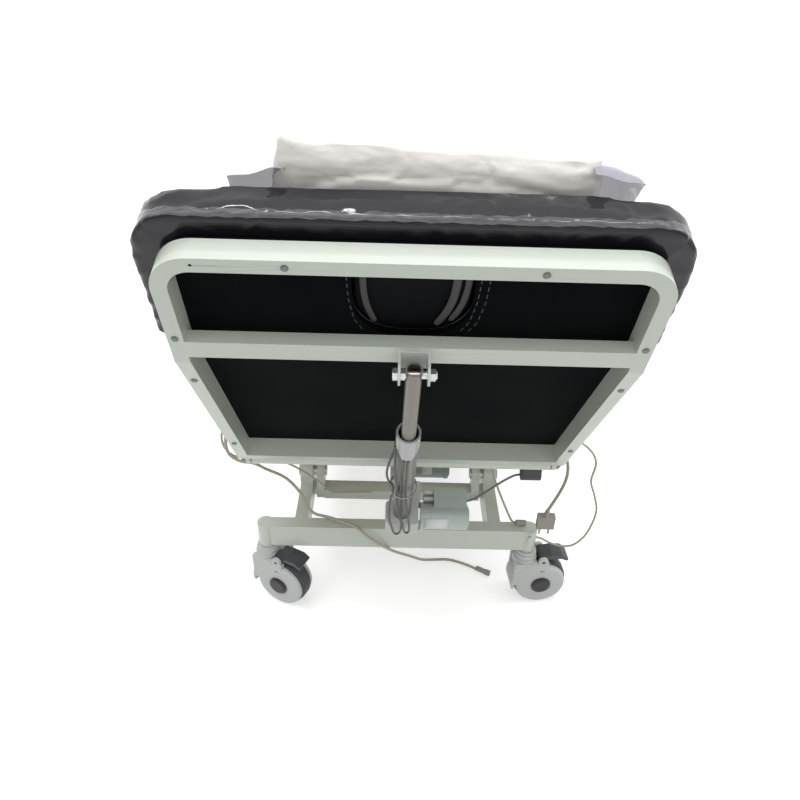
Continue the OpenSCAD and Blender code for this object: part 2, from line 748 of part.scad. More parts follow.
module back_board() {
    color("burlywood") difference() {
        back_layer(board_z, board_z + board_t, frame_w / 2 - 4, head_len - 4, bevel_gap + 4);
        face_cut(rail_d - 10, rail_d + 40, 0);
        corner_trim(corner_r - 7);
    }
}

// Outline of a pad across its width: crowned top, rounded shoulders, sides drawn in towards the board
pad_shoulder = 15;
pad_draw_in = 5;
// Share of a pad's height that is lost at its rounded end
end_dip = 0.12;
function pad_half(w, z0, z1, crown) = let (r = min(pad_shoulder, (z1 - z0) * 0.6)) concat(
    [[w - pad_draw_in, z0], [w - 0.25 * pad_draw_in, z0 + 0.4 * (z1 - z0 - r)]],
    [for (a = [0, 22, 45, 68]) [w - r + r * cos(a), z1 - r + r * sin(a)]],
    [for (u = [1, 0.75, 0.5, 0.25]) [u * (w - r), z1 + crown * (1 - u * u)]]);
function pad_profile(w, z0, z1, crown) = let (side = pad_half(w, z0, z1, crown), n = len(side))
    concat(side, [[0, z1 + crown]], [for (i = [n - 1 : -1 : 0]) [-side[i][0], side[i][1]]]);

// Half width of a pad at distance d from its rounded end
function end_width(w, d, r) = d >= r ? w : w - r + sqrt(max(r * r - (r - d) * (r - d), 0));

// Distances from a pad's rounded end at which its outline is drawn
ends = [0, 3, 8, 16, 28, 42, pad_corner_r];

module back_cushion() {
    half_w = pad_w / 2;
    end_v = head_len + head_over;
    cut = bevel_gap / cos(back_angle / 2);
    function ring_lower(y) = [for (p = pad_profile(half_w, foam_z, pad_top - pad_crown, pad_crown))
        [p[0], min(y, bevel_y(p[1], cut)), p[1]]];
    function ring_head(v, t) = [for (p = pad_profile(end_width(half_w, end_v - v, pad_corner_r), foam_z,
            foam_z + (pad_top - pad_crown - foam_z) * t, pad_crown * t))
        [p[0], -v * cos(head_kink) + p[1] * sin(head_kink), v * sin(head_kink) + p[1] * cos(head_kink)]];
    function ring_bend() = [for (p = pad_profile(half_w, foam_z, pad_top - pad_crown, pad_crown))
        [p[0], p[1] * tan(head_kink / 2), p[1]]];
    color("#3b3c42") difference() {
        on_lower() skin(concat(
            [for (y = [lower_len + 60, 0.75 * lower_len, 0.5 * lower_len, 0.25 * lower_len, 60]) ring_lower(y)],
            [ring_bend()],
            [for (v = [50, 95]) ring_head(v, 1)],
            [for (i = [len(ends) - 1 : -1 : 0]) ring_head(end_v - ends[i], 1 - end_dip * pow(1 - ends[i] / pad_corner_r, 4))]));
        face_cut(rail_d, pad_top + 40, 0);
    }
}

module face_plug() {
    color("#3b3c42") on_head() translate([0, 0, foam_z]) linear_extrude(pad_top - foam_z - 2)
        face_shape(-face_gap);
}

module seat_board() {
    slant = tan(back_angle / 2);
    color("burlywood") on_seat() block([-seat_rail_x - rail_w + 4, (rail_d + board_t) * slant + 12, rail_d],
        [seat_rail_x + rail_w - 4, seat_len - 10, rail_d + board_t]);
}

module seat_cushion() {
    half_w = pad_w / 2;
    slant = tan(back_angle / 2);
    low = rail_d + board_t + rest_gap;
    function ring(y, t) = [for (p = pad_profile(end_width(half_w, foot_reach - y, pad_corner_r), low,
            low + (pad_top - pad_crown - low) * t, pad_crown * t))
        [p[0], max(y, (p[1] - hinge_in) * slant + bevel_gap / cos(back_angle / 2)), p[1]]];
    color("#3b3c42") on_seat() skin(concat(
        [for (i = [0 : len(ends) - 1]) ring(foot_reach - ends[i], 1 - end_dip * pow(1 - ends[i] / pad_corner_r, 4))],
        [for (i = [1 : 7]) ring(foot_reach - pad_corner_r - i / 8 * (foot_reach - pad_corner_r), 1)],
        [ring(0, 1)]));
}

// Distance by which the pillow settles below the highest line of the crown
pillow_sink = 0.7;

// Pillow: full in the middle and thin at its seams
module pillow() {
    n = 14;
    m = 28;
    function swell(t) = pow(max(1 - pow(abs(2 * t - 1), 3.2), 0), 0.5);
    color("#d9d4c3") on_head() translate([pillow_x, -pillow_low, pad_top + rest_gap - pillow_sink])
        rotate([0, 0, pillow_turn]) skin(
        [for (i = [0 : n]) let (t = 0.012 + 0.976 * i / n, f = swell(t), w = pillow_w / 2 * (0.93 + 0.07 * f))
            [for (j = [0 : m - 1]) let (a = 360 * j / m, c = cos(a), s = sin(a),
                    x = sign(c) * pow(abs(c), 0.45), z = sign(s) * pow(abs(s), 0.8))
                [x * w, -t * pillow_len, s >= 0 ? pillow_t * (0.32 + 0.68 * z * f * (0.55 + 0.45 * (1 - x * x)))
                    : pillow_t * (0.32 - 0.32 * abs(z) * f)]]]);
}

module back_rod() {
    color("rosybrown") translate([drive_x, bolt_y, bolt_z]) rotate([drive_lean + drive_turn, 0, 0]) difference() {
        translate([0, 0, -rod_len]) cylinder(d = rod_d, h = rod_len + 13, $fn = round_fn);
        translate([0, 0, -rod_len - 1]) cylinder(d = rod_d - 2 * rod_wall, h = rod_len + 20, $fn = round_fn);
        across(drive_pin_d + 2 * fit, -20, 20, small_fn);
    }
}

gear_low = 38;
gear_top = 100;
motor_at = 72;
tube_top = drive_len - rod_out;
drive_bore = drive_tube_d - 2 * drive_wall;

module back_tube() {
    color("tan") on_drive() translate([0, 0, gear_top]) difference() {
        cylinder(d = drive_tube_d, h = tube_top - gear_top, $fn = round_fn);
        translate([0, 0, 6]) cylinder(d = drive_bore, h = tube_top, $fn = round_fn);
    }
}

// Plastic guide round the mouth of the fixed tube, with a tongue on its rear side
module tube_collar() {
    collar_d = drive_tube_d + 4;
    color("gainsboro") on_drive() translate([0, 0, tube_top]) difference() {
        union() {
            translate([0, 0, -30]) cylinder(d = collar_d, h = 30 + 12, $fn = round_fn);
            intersection() {
                translate([0, 0, -58]) cylinder(d = collar_d, h = 60, $fn = round_fn);
                translate([0, -collar_d / 2, -30]) rotate([-90, 0, 0]) linear_extrude(collar_d / 2)
                    polygon([[-16, -1], [16, -1], [7, 24], [-7, 24]]);
            }
        }
        translate([0, 0, -60]) cylinder(d = drive_tube_d + 2 * fit, h = 60, $fn = round_fn);
        translate([0, 0, -1]) cylinder(d = drive_bore, h = 20, $fn = round_fn);
    }
}

module back_gearbox() {
    half = 32;
    color("ivory") on_drive() difference() {
        union() {
            across(26, -lug_half, lug_half);
            block([-lug_half, -13, 0], [lug_half, 13, gear_low + 2]);
            block([-half + 10, -25, gear_low], [half, 22, gear_top]);
            for (y = [-15, 12]) translate([-half + 10, y, gear_low])
                cylinder(r = 10, h = gear_top - gear_low, $fn = small_fn);
            block([-half, -15, gear_low], [-half + 11, 12, gear_top]);
            // Side housing of the gear train, beside the plates that carry the drive
            block([lug_half + 9, 20, gear_low + 22], [half + 4, 62, gear_top - 4]);
            translate([0, 58, motor_at]) across(28, lug_half + 9, half + 4);
        }
        across(drive_pin_d + 2 * fit, -40, 40, small_fn);
    }
}

module back_motor() {
    x0 = 36.4;
    color("lightsteelblue") on_drive() translate([0, 0, motor_at]) {
        across(motor_d + 6, x0, x0 + 6);
        across(motor_d, x0 + 5, x0 + motor_len);
        across(motor_d - 14, x0 + motor_len - 1, x0 + motor_len + 3);
        block([x0 + 26, 10, -26], [x0 + motor_len - 2, 50, 24]);
    }
}

module motor_clips() {
    x0 = 36.4;
    color("white") on_drive() translate([0, 0, motor_at]) for (y = [31, 44])
        block([x0 + 6.3, y - 4, -18], [x0 + 25.7, y + 3, 18]);
}

module back_drive_pin() {
    half = lug_half + 1 + ear_t;
    color("silver") on_drive() {
        across(drive_pin_d, -half - 3, half + 4, small_fn);
        across(16, -half - 5, -half - 0.2);
        across(16, half + 0.2, half + 4);
    }
}

lift_gear = [30, 82];
lift_mouth = 190;
lift_rod_len = 160;

module lift_tube() {
    color("tan") on_lift() rotate([-90, 0, 0]) translate([0, 0, lift_gear[1]]) difference() {
        cylinder(d = drive_tube_d, h = lift_mouth - lift_gear[1], $fn = round_fn);
        translate([0, 0, 4]) cylinder(d = drive_bore, h = lift_mouth, $fn = round_fn);
    }
}

module lift_rod() {
    color("silver") translate([lift_x, lever_y, lever_z]) difference() {
        union() {
            translate([0, -lift_rod_len, 0]) rotate([-90, 0, 0])
                cylinder(d = rod_d, h = lift_rod_len - 2, $fn = round_fn);
            across(rod_d + 2, -lug_half + 1, lug_half - 1);
            // Cross pin welded through the eye, turning in the lever plates
            across(drive_pin_d, -lug_half - ear_t - 5, lug_half + ear_t + 5, small_fn);
        }
        translate([0, -lift_rod_len - 1, 0]) rotate([-90, 0, 0])
            cylinder(d = rod_d - 2 * rod_wall, h = lift_rod_len - 20, $fn = round_fn);
    }
}

module lift_gearbox() {
    color("gainsboro") on_lift() difference() {
        union() {
            across(24, -lug_half, lug_half);
            block([-lug_half, 0, -12], [lug_half, lift_gear[0] + 1, 12]);
            block([-30, lift_gear[0], -40], [32, lift_gear[1], 22]);
        }
        across(drive_pin_d + 2 * fit, -40, 40, small_fn);
    }
}

module lift_motor() {
    color("darkseagreen") on_lift() translate([0, (lift_gear[0] + lift_gear[1]) / 2, -16]) {
        across(motor_d - 4, 32.4, 32 + motor_len - 6);
        across(motor_d, 32 + motor_len - 16, 32 + motor_len - 9);
        across(motor_d - 16, 32 + motor_len - 7, 32 + motor_len - 3);
    }
}

module lift_pins() {
    half = lug_half + 1 + ear_t;
    color("silver") translate([lift_x, lift_tail_y, lever_z]) {
        across(drive_pin_d, -half - 3, half + 4, small_fn);
        across(16, -half - 5, -half - 0.2);
        across(16, half + 0.2, half + 4);
    }
}

// Control box under the seat, and the straps that hang it from the rear bar
box_w = 240;
box_len = 150;
box_h = 56;
box_gap = 6;
box_ahead = 70;
strap_w = 20;
strap_x = 80;

// Small round-bottomed box under the front end of the right rail
small_box_w = 36;
small_box_len = 28;
small_box_drop = 44;
small_box_y = 33;

module control_box() {
    bar_y = ear_y + arm_pitch;
    box_end = bar_y - box_ahead;
    color("dimgray") on_seat() {
        block([-box_w / 2, box_end - box_len, -box_gap - box_h], [box_w / 2, box_end, -box_gap]);
        both_sides() translate([strap_x, 0, 0]) {
            block([-strap_w / 2, box_end - 0.1, -20], [strap_w / 2, bar_y - rail_w / 2 + 0.1, -box_gap - 2]);
            block([-strap_w / 2, bar_y - rail_w / 2 - 4, -20], [strap_w / 2, bar_y + rail_w / 2, 0]);
        }
        translate([seat_rail_x - 3, small_box_y, 0]) {
            block([-small_box_w / 2, 0.3 - small_box_len / 2, -small_box_drop],
                [small_box_w / 2, small_box_len / 2 - 0.3, 0]);
            translate([0, 0, -small_box_drop])
                across(small_box_len, -small_box_w / 2 - 1, small_box_w / 2 + 1, small_fn);
        }
    }
}

module castor_housing(c) {
    color("whitesmoke") on_castor(c) difference() {
        union() {
            for (sy = [-1, 1]) translate([trail, sy > 0 ? disc_in - 1 : 1 - disc_in, wheel_r])
                rotate([sy > 0 ? -90 : 90, 0, 0]) rotate_extrude($fn = round_fn) {
                    t = shell_w / 2 - disc_in + 1;
                    square([disc_r, t * 0.5]);
                    square([disc_r - t * 0.6, t]);
                    translate([disc_r - t * 0.6, t * 0.4]) circle(r = t * 0.6, $fn = small_fn);
                }
            // Stepped neck round the swivel
            translate([0, 0, neck_top - 10]) cylinder(d = 44, h = 10, $fn = round_fn);
            translate([0, 0, neck_top - 20]) cylinder(d = 49, h = 11, $fn = round_fn);
            translate([0, 0, neck_top - 36]) cylinder(d = 54, h = 17, $fn = round_fn);
            // Cheeks from the neck down to the side discs
            for (sy = [-1, 1]) block([-25, sy > 0 ? disc_in - 1 : -shell_w / 2 + 0.5, wheel_r],
                [trail + 12, sy > 0 ? shell_w / 2 - 0.5 : -disc_in + 1, pedal_z - 4]);
            // Shell over the leading side of the wheel
            translate([trail, 0, wheel_r]) rotate([90, 0, 0]) rotate([0, 0, 102])
                rotate_extrude(angle = 88, $fn = 96)
                    translate([wrap_r - 1, -shell_w / 2]) square([6.5, shell_w]);
            for (sy = [-1, 1]) translate([pedal_x, sy > 0 ? pedal_w / 2 + 1 : -shell_w / 2, pedal_z])
                rotate([-90, 0, 0]) cylinder(r = 11, h = shell_w / 2 - pedal_w / 2 - 1, $fn = small_fn);
        }
        // Room for the wheel between the cheeks
        translate([trail, -disc_in, wheel_r]) rotate([-90, 0, 0])
            cylinder(r = wrap_r, h = 2 * disc_in, $fn = round_fn);
        translate([trail, -shell_w, wheel_r]) rotate([-90, 0, 0])
            cylinder(d = axle_d + 2 * fit, h = 2 * shell_w, $fn = small_fn);
        translate([0, 0, neck_top - 31]) cylinder(d = spigot_d + 2 * fit, h = 40, $fn = small_fn);
        translate([pedal_x, -shell_w, pedal_z]) rotate([-90, 0, 0])
            cylinder(d = 8 + 2 * fit, h = 2 * shell_w, $fn = small_fn);
        translate([pedal_x, -pedal_w / 2 - 1.4, pedal_z]) rotate([-90, 0, 0])
            cylinder(r = 14, h = pedal_w + 2.8, $fn = small_fn);
        // Small slot above the hub cap
        translate([trail - 6, -shell_w / 2 - 1, wheel_r + 40]) cube([9, 4, 5]);
    }
}

module castor_axle(c) {
    color("#1c1c1c") on_castor(c) translate([trail, 0, wheel_r]) rotate([-90, 0, 0]) {
        translate([0, 0, -shell_w / 2 - 1]) cylinder(d = axle_d, h = shell_w + 2, $fn = small_fn);
        for (m = [0, 1]) mirror([0, 0, m]) translate([0, 0, shell_w / 2 + 0.2]) {
            cylinder(d = cap_d, h = 3, $fn = round_fn);
            translate([0, 0, 3]) cylinder(d1 = cap_d, d2 = cap_d - 10, h = 3, $fn = round_fn);
        }
    }
}

module castor_rim(c) {
    color("silver") on_castor(c) translate([trail, 0, wheel_r]) rotate([-90, 0, 0]) difference() {
        union() {
            translate([0, 0, -14]) cylinder(r = wheel_r - 10 - rest_gap, h = 28, $fn = round_fn);
            translate([0, 0, -disc_in + 0.4]) cylinder(d = 30, h = 2 * disc_in - 0.8, $fn = small_fn);
        }
        translate([0, 0, -30]) cylinder(d = axle_d + 2 * fit, h = 60, $fn = small_fn);
    }
}

module castor_tyre(c) {
    w = tyre_w / 2;
    tread = wheel_r - 10;
    color("#3a3d3f") on_castor(c) translate([trail, 0, wheel_r]) rotate([-90, 0, 0]) rotate_extrude($fn = 96) {
        polygon([[tread, -w + 3], [tread + 3, -w], [wheel_r - 4, -w + 0.6], [wheel_r - 1.2, -w + 3.4],
            [wheel_r, -w + 8], [wheel_r, w - 8], [wheel_r - 1.2, w - 3.4], [wheel_r - 4, w - 0.6],
            [tread + 3, w], [tread, w - 3]]);
    }
}

module castor_pedal(c) {
    color("#4b4f55") on_castor(c) translate([pedal_x, 0, pedal_z]) {
        translate([0, -pedal_w / 2, 0]) rotate([-90, 0, 0]) cylinder(r = 8, h = pedal_w, $fn = small_fn);
        translate([0, -shell_w / 2 + 1, 0]) rotate([-90, 0, 0]) cylinder(d = 8, h = shell_w - 2, $fn = small_fn);
        translate([0, pedal_w / 2, 0]) rotate([90, 0, 0]) linear_extrude(pedal_w)
            polygon([[-2, 7.8], [20, 12], [44, 11], [58, 2], [56, -4], [42, 2], [18, 2], [4, -6]]);
    }
}

// Routes of the leads, as points chosen along their way
mains_route = [[60, 552, 431], [66, 600, 432], [98, 652, 437], [160, 680, 445], [224, 668, 452],
    [258, 628, 454], [lead_x, 540, 454], [lead_x, 420, 450], [lead_x, 300, 454], [lead_x, 180, 450], [lead_x, 60, 454],
    [lead_x, -60, 450], [lead_x, -180, 454], [268, -290, 454], [284, -362, 453], [314, -394, 446], [332, -399, 422],
    [337, -400, 385], [330, -400, 345], [312, -399, 290]];

module mains_lead() {
    color("#8d8470") cord(mains_route, lead_d, 4);
}

module mains_plug() {
    color("#77746c") translate([312, -399, 290]) {
        translate([0, 0, -14]) cylinder(d1 = 15, d2 = lead_d + 2, h = 14, $fn = small_fn);
        translate([-18, -8, -46]) cube([36, 16, 33]);
        for (x = [-9.5, 9.5]) translate([x, 0, -65]) cylinder(d = 4, h = 20, $fn = small_fn);
    }
}

control_route = [[-278.3, -395, 470], [-310, -392, 478], [-338, -390, 470], [-346, -390, 445], [-342, -390, 415],
    [-322, -388, 396], [-296, -384, 388], [-276, -372, 364], [-240, -350, 322], [-212, -338, 268], [-190, -345, 222],
    [-150, -358, 219], [-110, -376, 219], [-86, -388, 217], [-66, -396, 202], [-38, -396, 178], [-8, -380, 142],
    [30, -338, 84], [62, -296, 28], [92, -274, 5], [130, -272, 4], [166, -284, 4], [196, -300, 4]];

module control_lead() {
    color("#b5ab93") cord(control_route, lead_d, 3);
}

module lead_connector() {
    color("#8c8a80") translate([196, -300, 0]) rotate([0, 0, -29]) translate([0, 0, 7]) rotate([0, 90, 0]) {
        cylinder(d = 12, h = 24, $fn = small_fn);
        translate([0, 0, 23.5]) cylinder(d = 14, h = 12, $fn = small_fn);
    }
    // Plug of the lead that ends on the front bar
    color("#8c8a80") translate([258, -364, 221]) rotate([0, 90, 0]) cylinder(d = 13, h = 22, $fn = small_fn);
}

lift_route = [[-278.3, -385, 476], [-312, -381, 486], [-344, -378, 478], [-356, -377, 450], [-352, -377, 418],
    [-332, -374, 396], [-300, -364, 386], [-262, -340, 364], [-222, -310, 318], [-178, -285, 258], [-150, -268, 214],
    [-110, -262, 209], [-60, -260, 209]];

module lift_lead() {
    color("#b5ab93") cord(lift_route, thin_d, 4);
}

earth_route = [[278.3, -380, 470], [302, -388, 478], [336, -394, 474], [362, -397, 462], [382, -398, 440],
    [391, -398, 414], [389, -397, 372], [403, -397, 334], [415, -397, 292], [412, -396, 248], [402, -394, 210],
    [384, -388, 180], [362, -380, 169], [338, -374, 172], [318, -371, 182], [307.2, -370, 184]];
post_route = [[188, -358, 460.9], [188.5, -357, 430], [190, -350, 388], [197, -342, 345], [215, -340, 294],
    [232, -343, 254], [244, -350, 229], [250, -359, 221.5], [256.6, -363.4, 221]];

module earth_lead() {
    color("#a89f8a") {
        cord(earth_route, thin_d, 4);
        cord(post_route, thin_d, 4);
    }
}

// Two slack loops that hang from the collar along the fixed tube, in the drive's own frame
loop_routes = [
    [[-19, 2, 419.7], [-20, 0, 400], [-26, -8, 374], [-31, -13, 336], [-28, -12, 294], [-18.8, -8, 250],
        [-24, -18, 205], [-25, -28, 150], [-18.5, -31.5, 90], [-15, -32, 66], [-9.5, -32, 56], [-4, -32, 66],
        [-1, -31, 100], [-4, -27, 170], [-5.5, -18.6, 250], [-8, -20, 320], [-6, -19.2, 365], [-5, -18.6, 395.7]],
    [[-18.8, -4, 419.7], [-18.5, -11, 395], [-18, -19, 360], [-16, -24, 320], [-14, -21, 285], [-12.5, -15.2, 250],
        [-11, -24, 210], [-6, -33, 165], [1, -37, 130], [4, -37, 96], [9, -37, 80], [14, -36.5, 92], [12, -34, 140],
        [6, -28, 200], [2.2, -19.4, 250], [2, -21, 300], [1.8, -19.8, 345], [1.8, -18.8, 395.7]]];

module drive_leads() {
    color("#8b8f8c") on_drive() for (route = loop_routes) cord(route, loop_d, 3);
}

junction_route = [[131.3, -448, 356], [146, -446, 360], [168, -442, 374], [196, -437, 396], [222, -432, 411],
    [234.3, -431, 413]];

module junction_lead() {
    color("#5a5a56") cord(junction_route, thin_d, 3);
}

base_frame();
castor_stems();
lower_pivot_pins();
upper_pivot_pins();
front_arms();
rear_arms();
seat_frame();
hinge_bolts();
seat_board();
seat_cushion();
backrest_frame();
frame_screws();
rod_bracket();
bracket_bolt();
dust_cover();
back_board();
back_cushion();
face_plug();
pillow();
back_rod();
back_tube();
tube_collar();
back_gearbox();
back_motor();
motor_clips();
back_drive_pin();
lift_rod();
lift_tube();
lift_gearbox();
lift_motor();
lift_pins();
control_box();
mains_lead();
mains_plug();
control_lead();
lead_connector();
lift_lead();
earth_lead();
drive_leads();
junction_lead();
castor_housing(castor_fl);  // castor_fl_housing
castor_axle(castor_fl);  // castor_fl_axle
castor_rim(castor_fl);  // castor_fl_rim
castor_tyre(castor_fl);  // castor_fl_tyre
castor_pedal(castor_fl);  // castor_fl_pedal
castor_housing(castor_fr);  // castor_fr_housing
castor_axle(castor_fr);  // castor_fr_axle
castor_rim(castor_fr);  // castor_fr_rim
castor_tyre(castor_fr);  // castor_fr_tyre
castor_pedal(castor_fr);  // castor_fr_pedal
castor_housing(castor_rl);  // castor_rl_housing
castor_axle(castor_rl);  // castor_rl_axle
castor_rim(castor_rl);  // castor_rl_rim
castor_tyre(castor_rl);  // castor_rl_tyre
castor_pedal(castor_rl);  // castor_rl_pedal
castor_housing(castor_rr);  // castor_rr_housing
castor_axle(castor_rr);  // castor_rr_axle
castor_rim(castor_rr);  // castor_rr_rim
castor_tyre(castor_rr);  // castor_rr_tyre
castor_pedal(castor_rr);  // castor_rr_pedal
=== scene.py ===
"""Looks of the examination table: soft goods, films, leads, small trim and materials around the CAD parts.

Metres, in the part's own frame: X across the table, Y from the head to the foot, Z up from the floor.
"""

import math

import bmesh
import bpy
import numpy as np
from mathutils import Matrix, Vector, noise


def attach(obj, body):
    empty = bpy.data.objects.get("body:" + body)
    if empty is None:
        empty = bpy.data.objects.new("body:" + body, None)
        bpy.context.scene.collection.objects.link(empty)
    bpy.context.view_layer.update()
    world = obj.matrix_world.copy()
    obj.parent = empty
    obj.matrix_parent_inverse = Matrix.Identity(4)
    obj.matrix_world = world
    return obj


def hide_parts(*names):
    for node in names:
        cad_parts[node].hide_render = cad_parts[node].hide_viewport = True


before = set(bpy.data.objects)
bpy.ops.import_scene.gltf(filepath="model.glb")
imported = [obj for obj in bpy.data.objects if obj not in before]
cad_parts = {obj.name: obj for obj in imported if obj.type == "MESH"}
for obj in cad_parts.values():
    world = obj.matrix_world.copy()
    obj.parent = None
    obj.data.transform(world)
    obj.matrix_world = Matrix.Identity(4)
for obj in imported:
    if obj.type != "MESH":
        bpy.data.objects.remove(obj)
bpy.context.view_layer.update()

# Blender seeds its vector noise by the clock, so it is seeded here to give the same folds in each run
noise.seed_set(7)

# Frames of the part's sections, the same as in its source
BACK_ANGLE = math.radians(55.5)
HEAD_KINK = math.radians(16)
HINGE = Vector((0, -0.46398, 0.47118))
HINGE_IN = 0.010
BACK_RUN = 0.440
LOWER = (Matrix.Translation(HINGE) @ Matrix.Rotation(-BACK_ANGLE, 4, "X")
         @ Matrix.Translation((0, -BACK_RUN, -HINGE_IN)))
HEAD = LOWER @ Matrix.Rotation(-HEAD_KINK, 4, "X")
SEAT_Z = 0.46118
SEAT = Matrix.Translation((0, HINGE.y, SEAT_Z))
DRIVE_AT = Vector((0.004, -0.43876, 0.27382))
DRIVE_LEAN = math.radians(28.602)
DRIVE = Matrix.Translation(DRIVE_AT) @ Matrix.Rotation(DRIVE_LEAN, 4, "X")
LIFT = Matrix.Translation((0.012, -0.14198, 0.15471))

# Sizes shared by the soft pieces: the pads' half width, height and corners, and where their foam starts
PAD_HALF = 0.338
PAD_TOP = 0.114
PAD_CROWN = 0.006
PAD_CORNER = 0.068
SHOULDER_R = 0.015
FOAM_Z = 0.0435
SEAT_FOAM_Z = 0.0423
HEAD_END = 0.198
END_DIP = 0.12
RAIL_D = 0.034
SEAT_LEN = 1.240
BEVEL_GAP = 0.003


# Camera

CAMERA_AT = (-0.0264, -1.48745, 1.2923)
LENS_MM = 31.5


def make_camera():
    """The photograph's view: 31.5 mm lens, 34 degrees down, a little rolled."""
    right = Vector((0.999580, 0.000276, 0.028967))
    down = Vector((0.024192, -0.557973, -0.829507))
    ahead = Vector((0.015934, 0.829859, -0.557745))
    data = bpy.data.cameras.new("camera")
    data.lens = LENS_MM
    data.sensor_width = 36
    camera = bpy.data.objects.new("camera", data)
    bpy.context.scene.collection.objects.link(camera)
    turn = Matrix((right, -down, -ahead)).transposed().to_4x4()
    camera.matrix_world = Matrix.Translation(CAMERA_AT) @ turn
    bpy.context.scene.camera = camera


# Materials

def add(tree, kind, inputs=None, **settings):
    """One shader node; an input given as a socket is linked, any other is set."""
    node = tree.nodes.new(kind)
    for key, value in settings.items():
        setattr(node, key, value)
    for key, value in (inputs or {}).items():
        if isinstance(value, bpy.types.NodeSocket):
            tree.links.new(value, node.inputs[key])
        else:
            node.inputs[key].default_value = value
    return node


def shade(colour, k):
    """A colour k times as bright, opaque."""
    return (*[min(c * k, 1) for c in colour], 1)


def surface(name, colour, roughness, metallic=0.0, vary=0.06, patch=7.0, grain=700.0, relief=0.00015,
            stretch=(1, 1, 1), coat=0.0, specular=0.5, crinkle=0.0, fold=9.0, alpha=1.0):
    """Material whose colour drifts in soft patches, over a fine relief.

    vary is the share by which the colour drifts, and crinkle the depth of the folds in its film or surface.
    """
    material = bpy.data.materials.new(name)
    material.use_nodes = True
    tree = material.node_tree
    shader = tree.nodes["Principled BSDF"]
    place = add(tree, "ShaderNodeTexCoord").outputs["Object"]
    along = add(tree, "ShaderNodeMapping", {"Vector": place, "Scale": stretch}).outputs["Vector"]
    patches = add(tree, "ShaderNodeTexNoise",
                  {"Vector": place, "Scale": patch, "Detail": 5.0}).outputs["Fac"]
    fine = add(tree, "ShaderNodeTexNoise", {"Vector": along, "Scale": grain, "Detail": 3.0}).outputs["Fac"]
    mix = add(tree, "ShaderNodeMix", {"Factor": patches}, data_type="RGBA")
    mix.inputs[6].default_value = shade(colour, 1 - vary)
    mix.inputs[7].default_value = shade(colour, 1 + vary)
    flecks = add(tree, "ShaderNodeMix", {"Factor": fine}, data_type="RGBA", blend_type="MULTIPLY")
    tree.links.new(mix.outputs[2], flecks.inputs[6])
    flecks.inputs[7].default_value = (1 - vary, 1 - vary, 1 - vary, 1)
    tree.links.new(flecks.outputs[2], shader.inputs["Base Color"])
    rough = add(tree, "ShaderNodeMapRange",
                {"Value": patches, "To Min": roughness * 0.82, "To Max": roughness * 1.2})
    tree.links.new(rough.outputs["Result"], shader.inputs["Roughness"])
    bump = add(tree, "ShaderNodeBump", {"Height": fine, "Distance": relief, "Strength": 0.8})
    tree.links.new(bump.outputs["Normal"], shader.inputs["Normal"])
    shader.inputs["Metallic"].default_value = metallic
    shader.inputs["Coat Weight"].default_value = coat
    shader.inputs["Coat Roughness"].default_value = 0.06
    shader.inputs["Specular IOR Level"].default_value = specular
    shader.inputs["Alpha"].default_value = alpha
    if crinkle:
        ridges = add(tree, "ShaderNodeTexNoise",
                     {"Vector": place, "Scale": fold, "Detail": 6.0, "Distortion": 1.6},
                     noise_type="RIDGED_MULTIFRACTAL").outputs["Fac"]
        folded = add(tree, "ShaderNodeBump", {"Height": ridges, "Distance": crinkle, "Strength": 1.0})
        tree.links.new(folded.outputs["Normal"], shader.inputs["Coat Normal" if coat else "Normal"])
    return material


def woven(name, colour, roughness, threads, relief):
    """Cloth of crossed threads, so many to the metre."""
    material = surface(name, colour, roughness, vary=0.12, specular=0.06)
    tree = material.node_tree
    shader = tree.nodes["Principled BSDF"]
    place = add(tree, "ShaderNodeTexCoord").outputs["Object"]
    warp = add(tree, "ShaderNodeTexWave", {"Vector": place, "Scale": threads, "Distortion": 0.6},
               bands_direction="X").outputs["Fac"]
    weft = add(tree, "ShaderNodeTexWave", {"Vector": place, "Scale": threads, "Distortion": 0.6},
               bands_direction="Z").outputs["Fac"]
    cross = add(tree, "ShaderNodeMath", {0: warp, 1: weft}, operation="MAXIMUM").outputs[0]
    bump = add(tree, "ShaderNodeBump", {"Height": cross, "Distance": relief})
    tree.links.new(bump.outputs["Normal"], shader.inputs["Normal"])
    return material


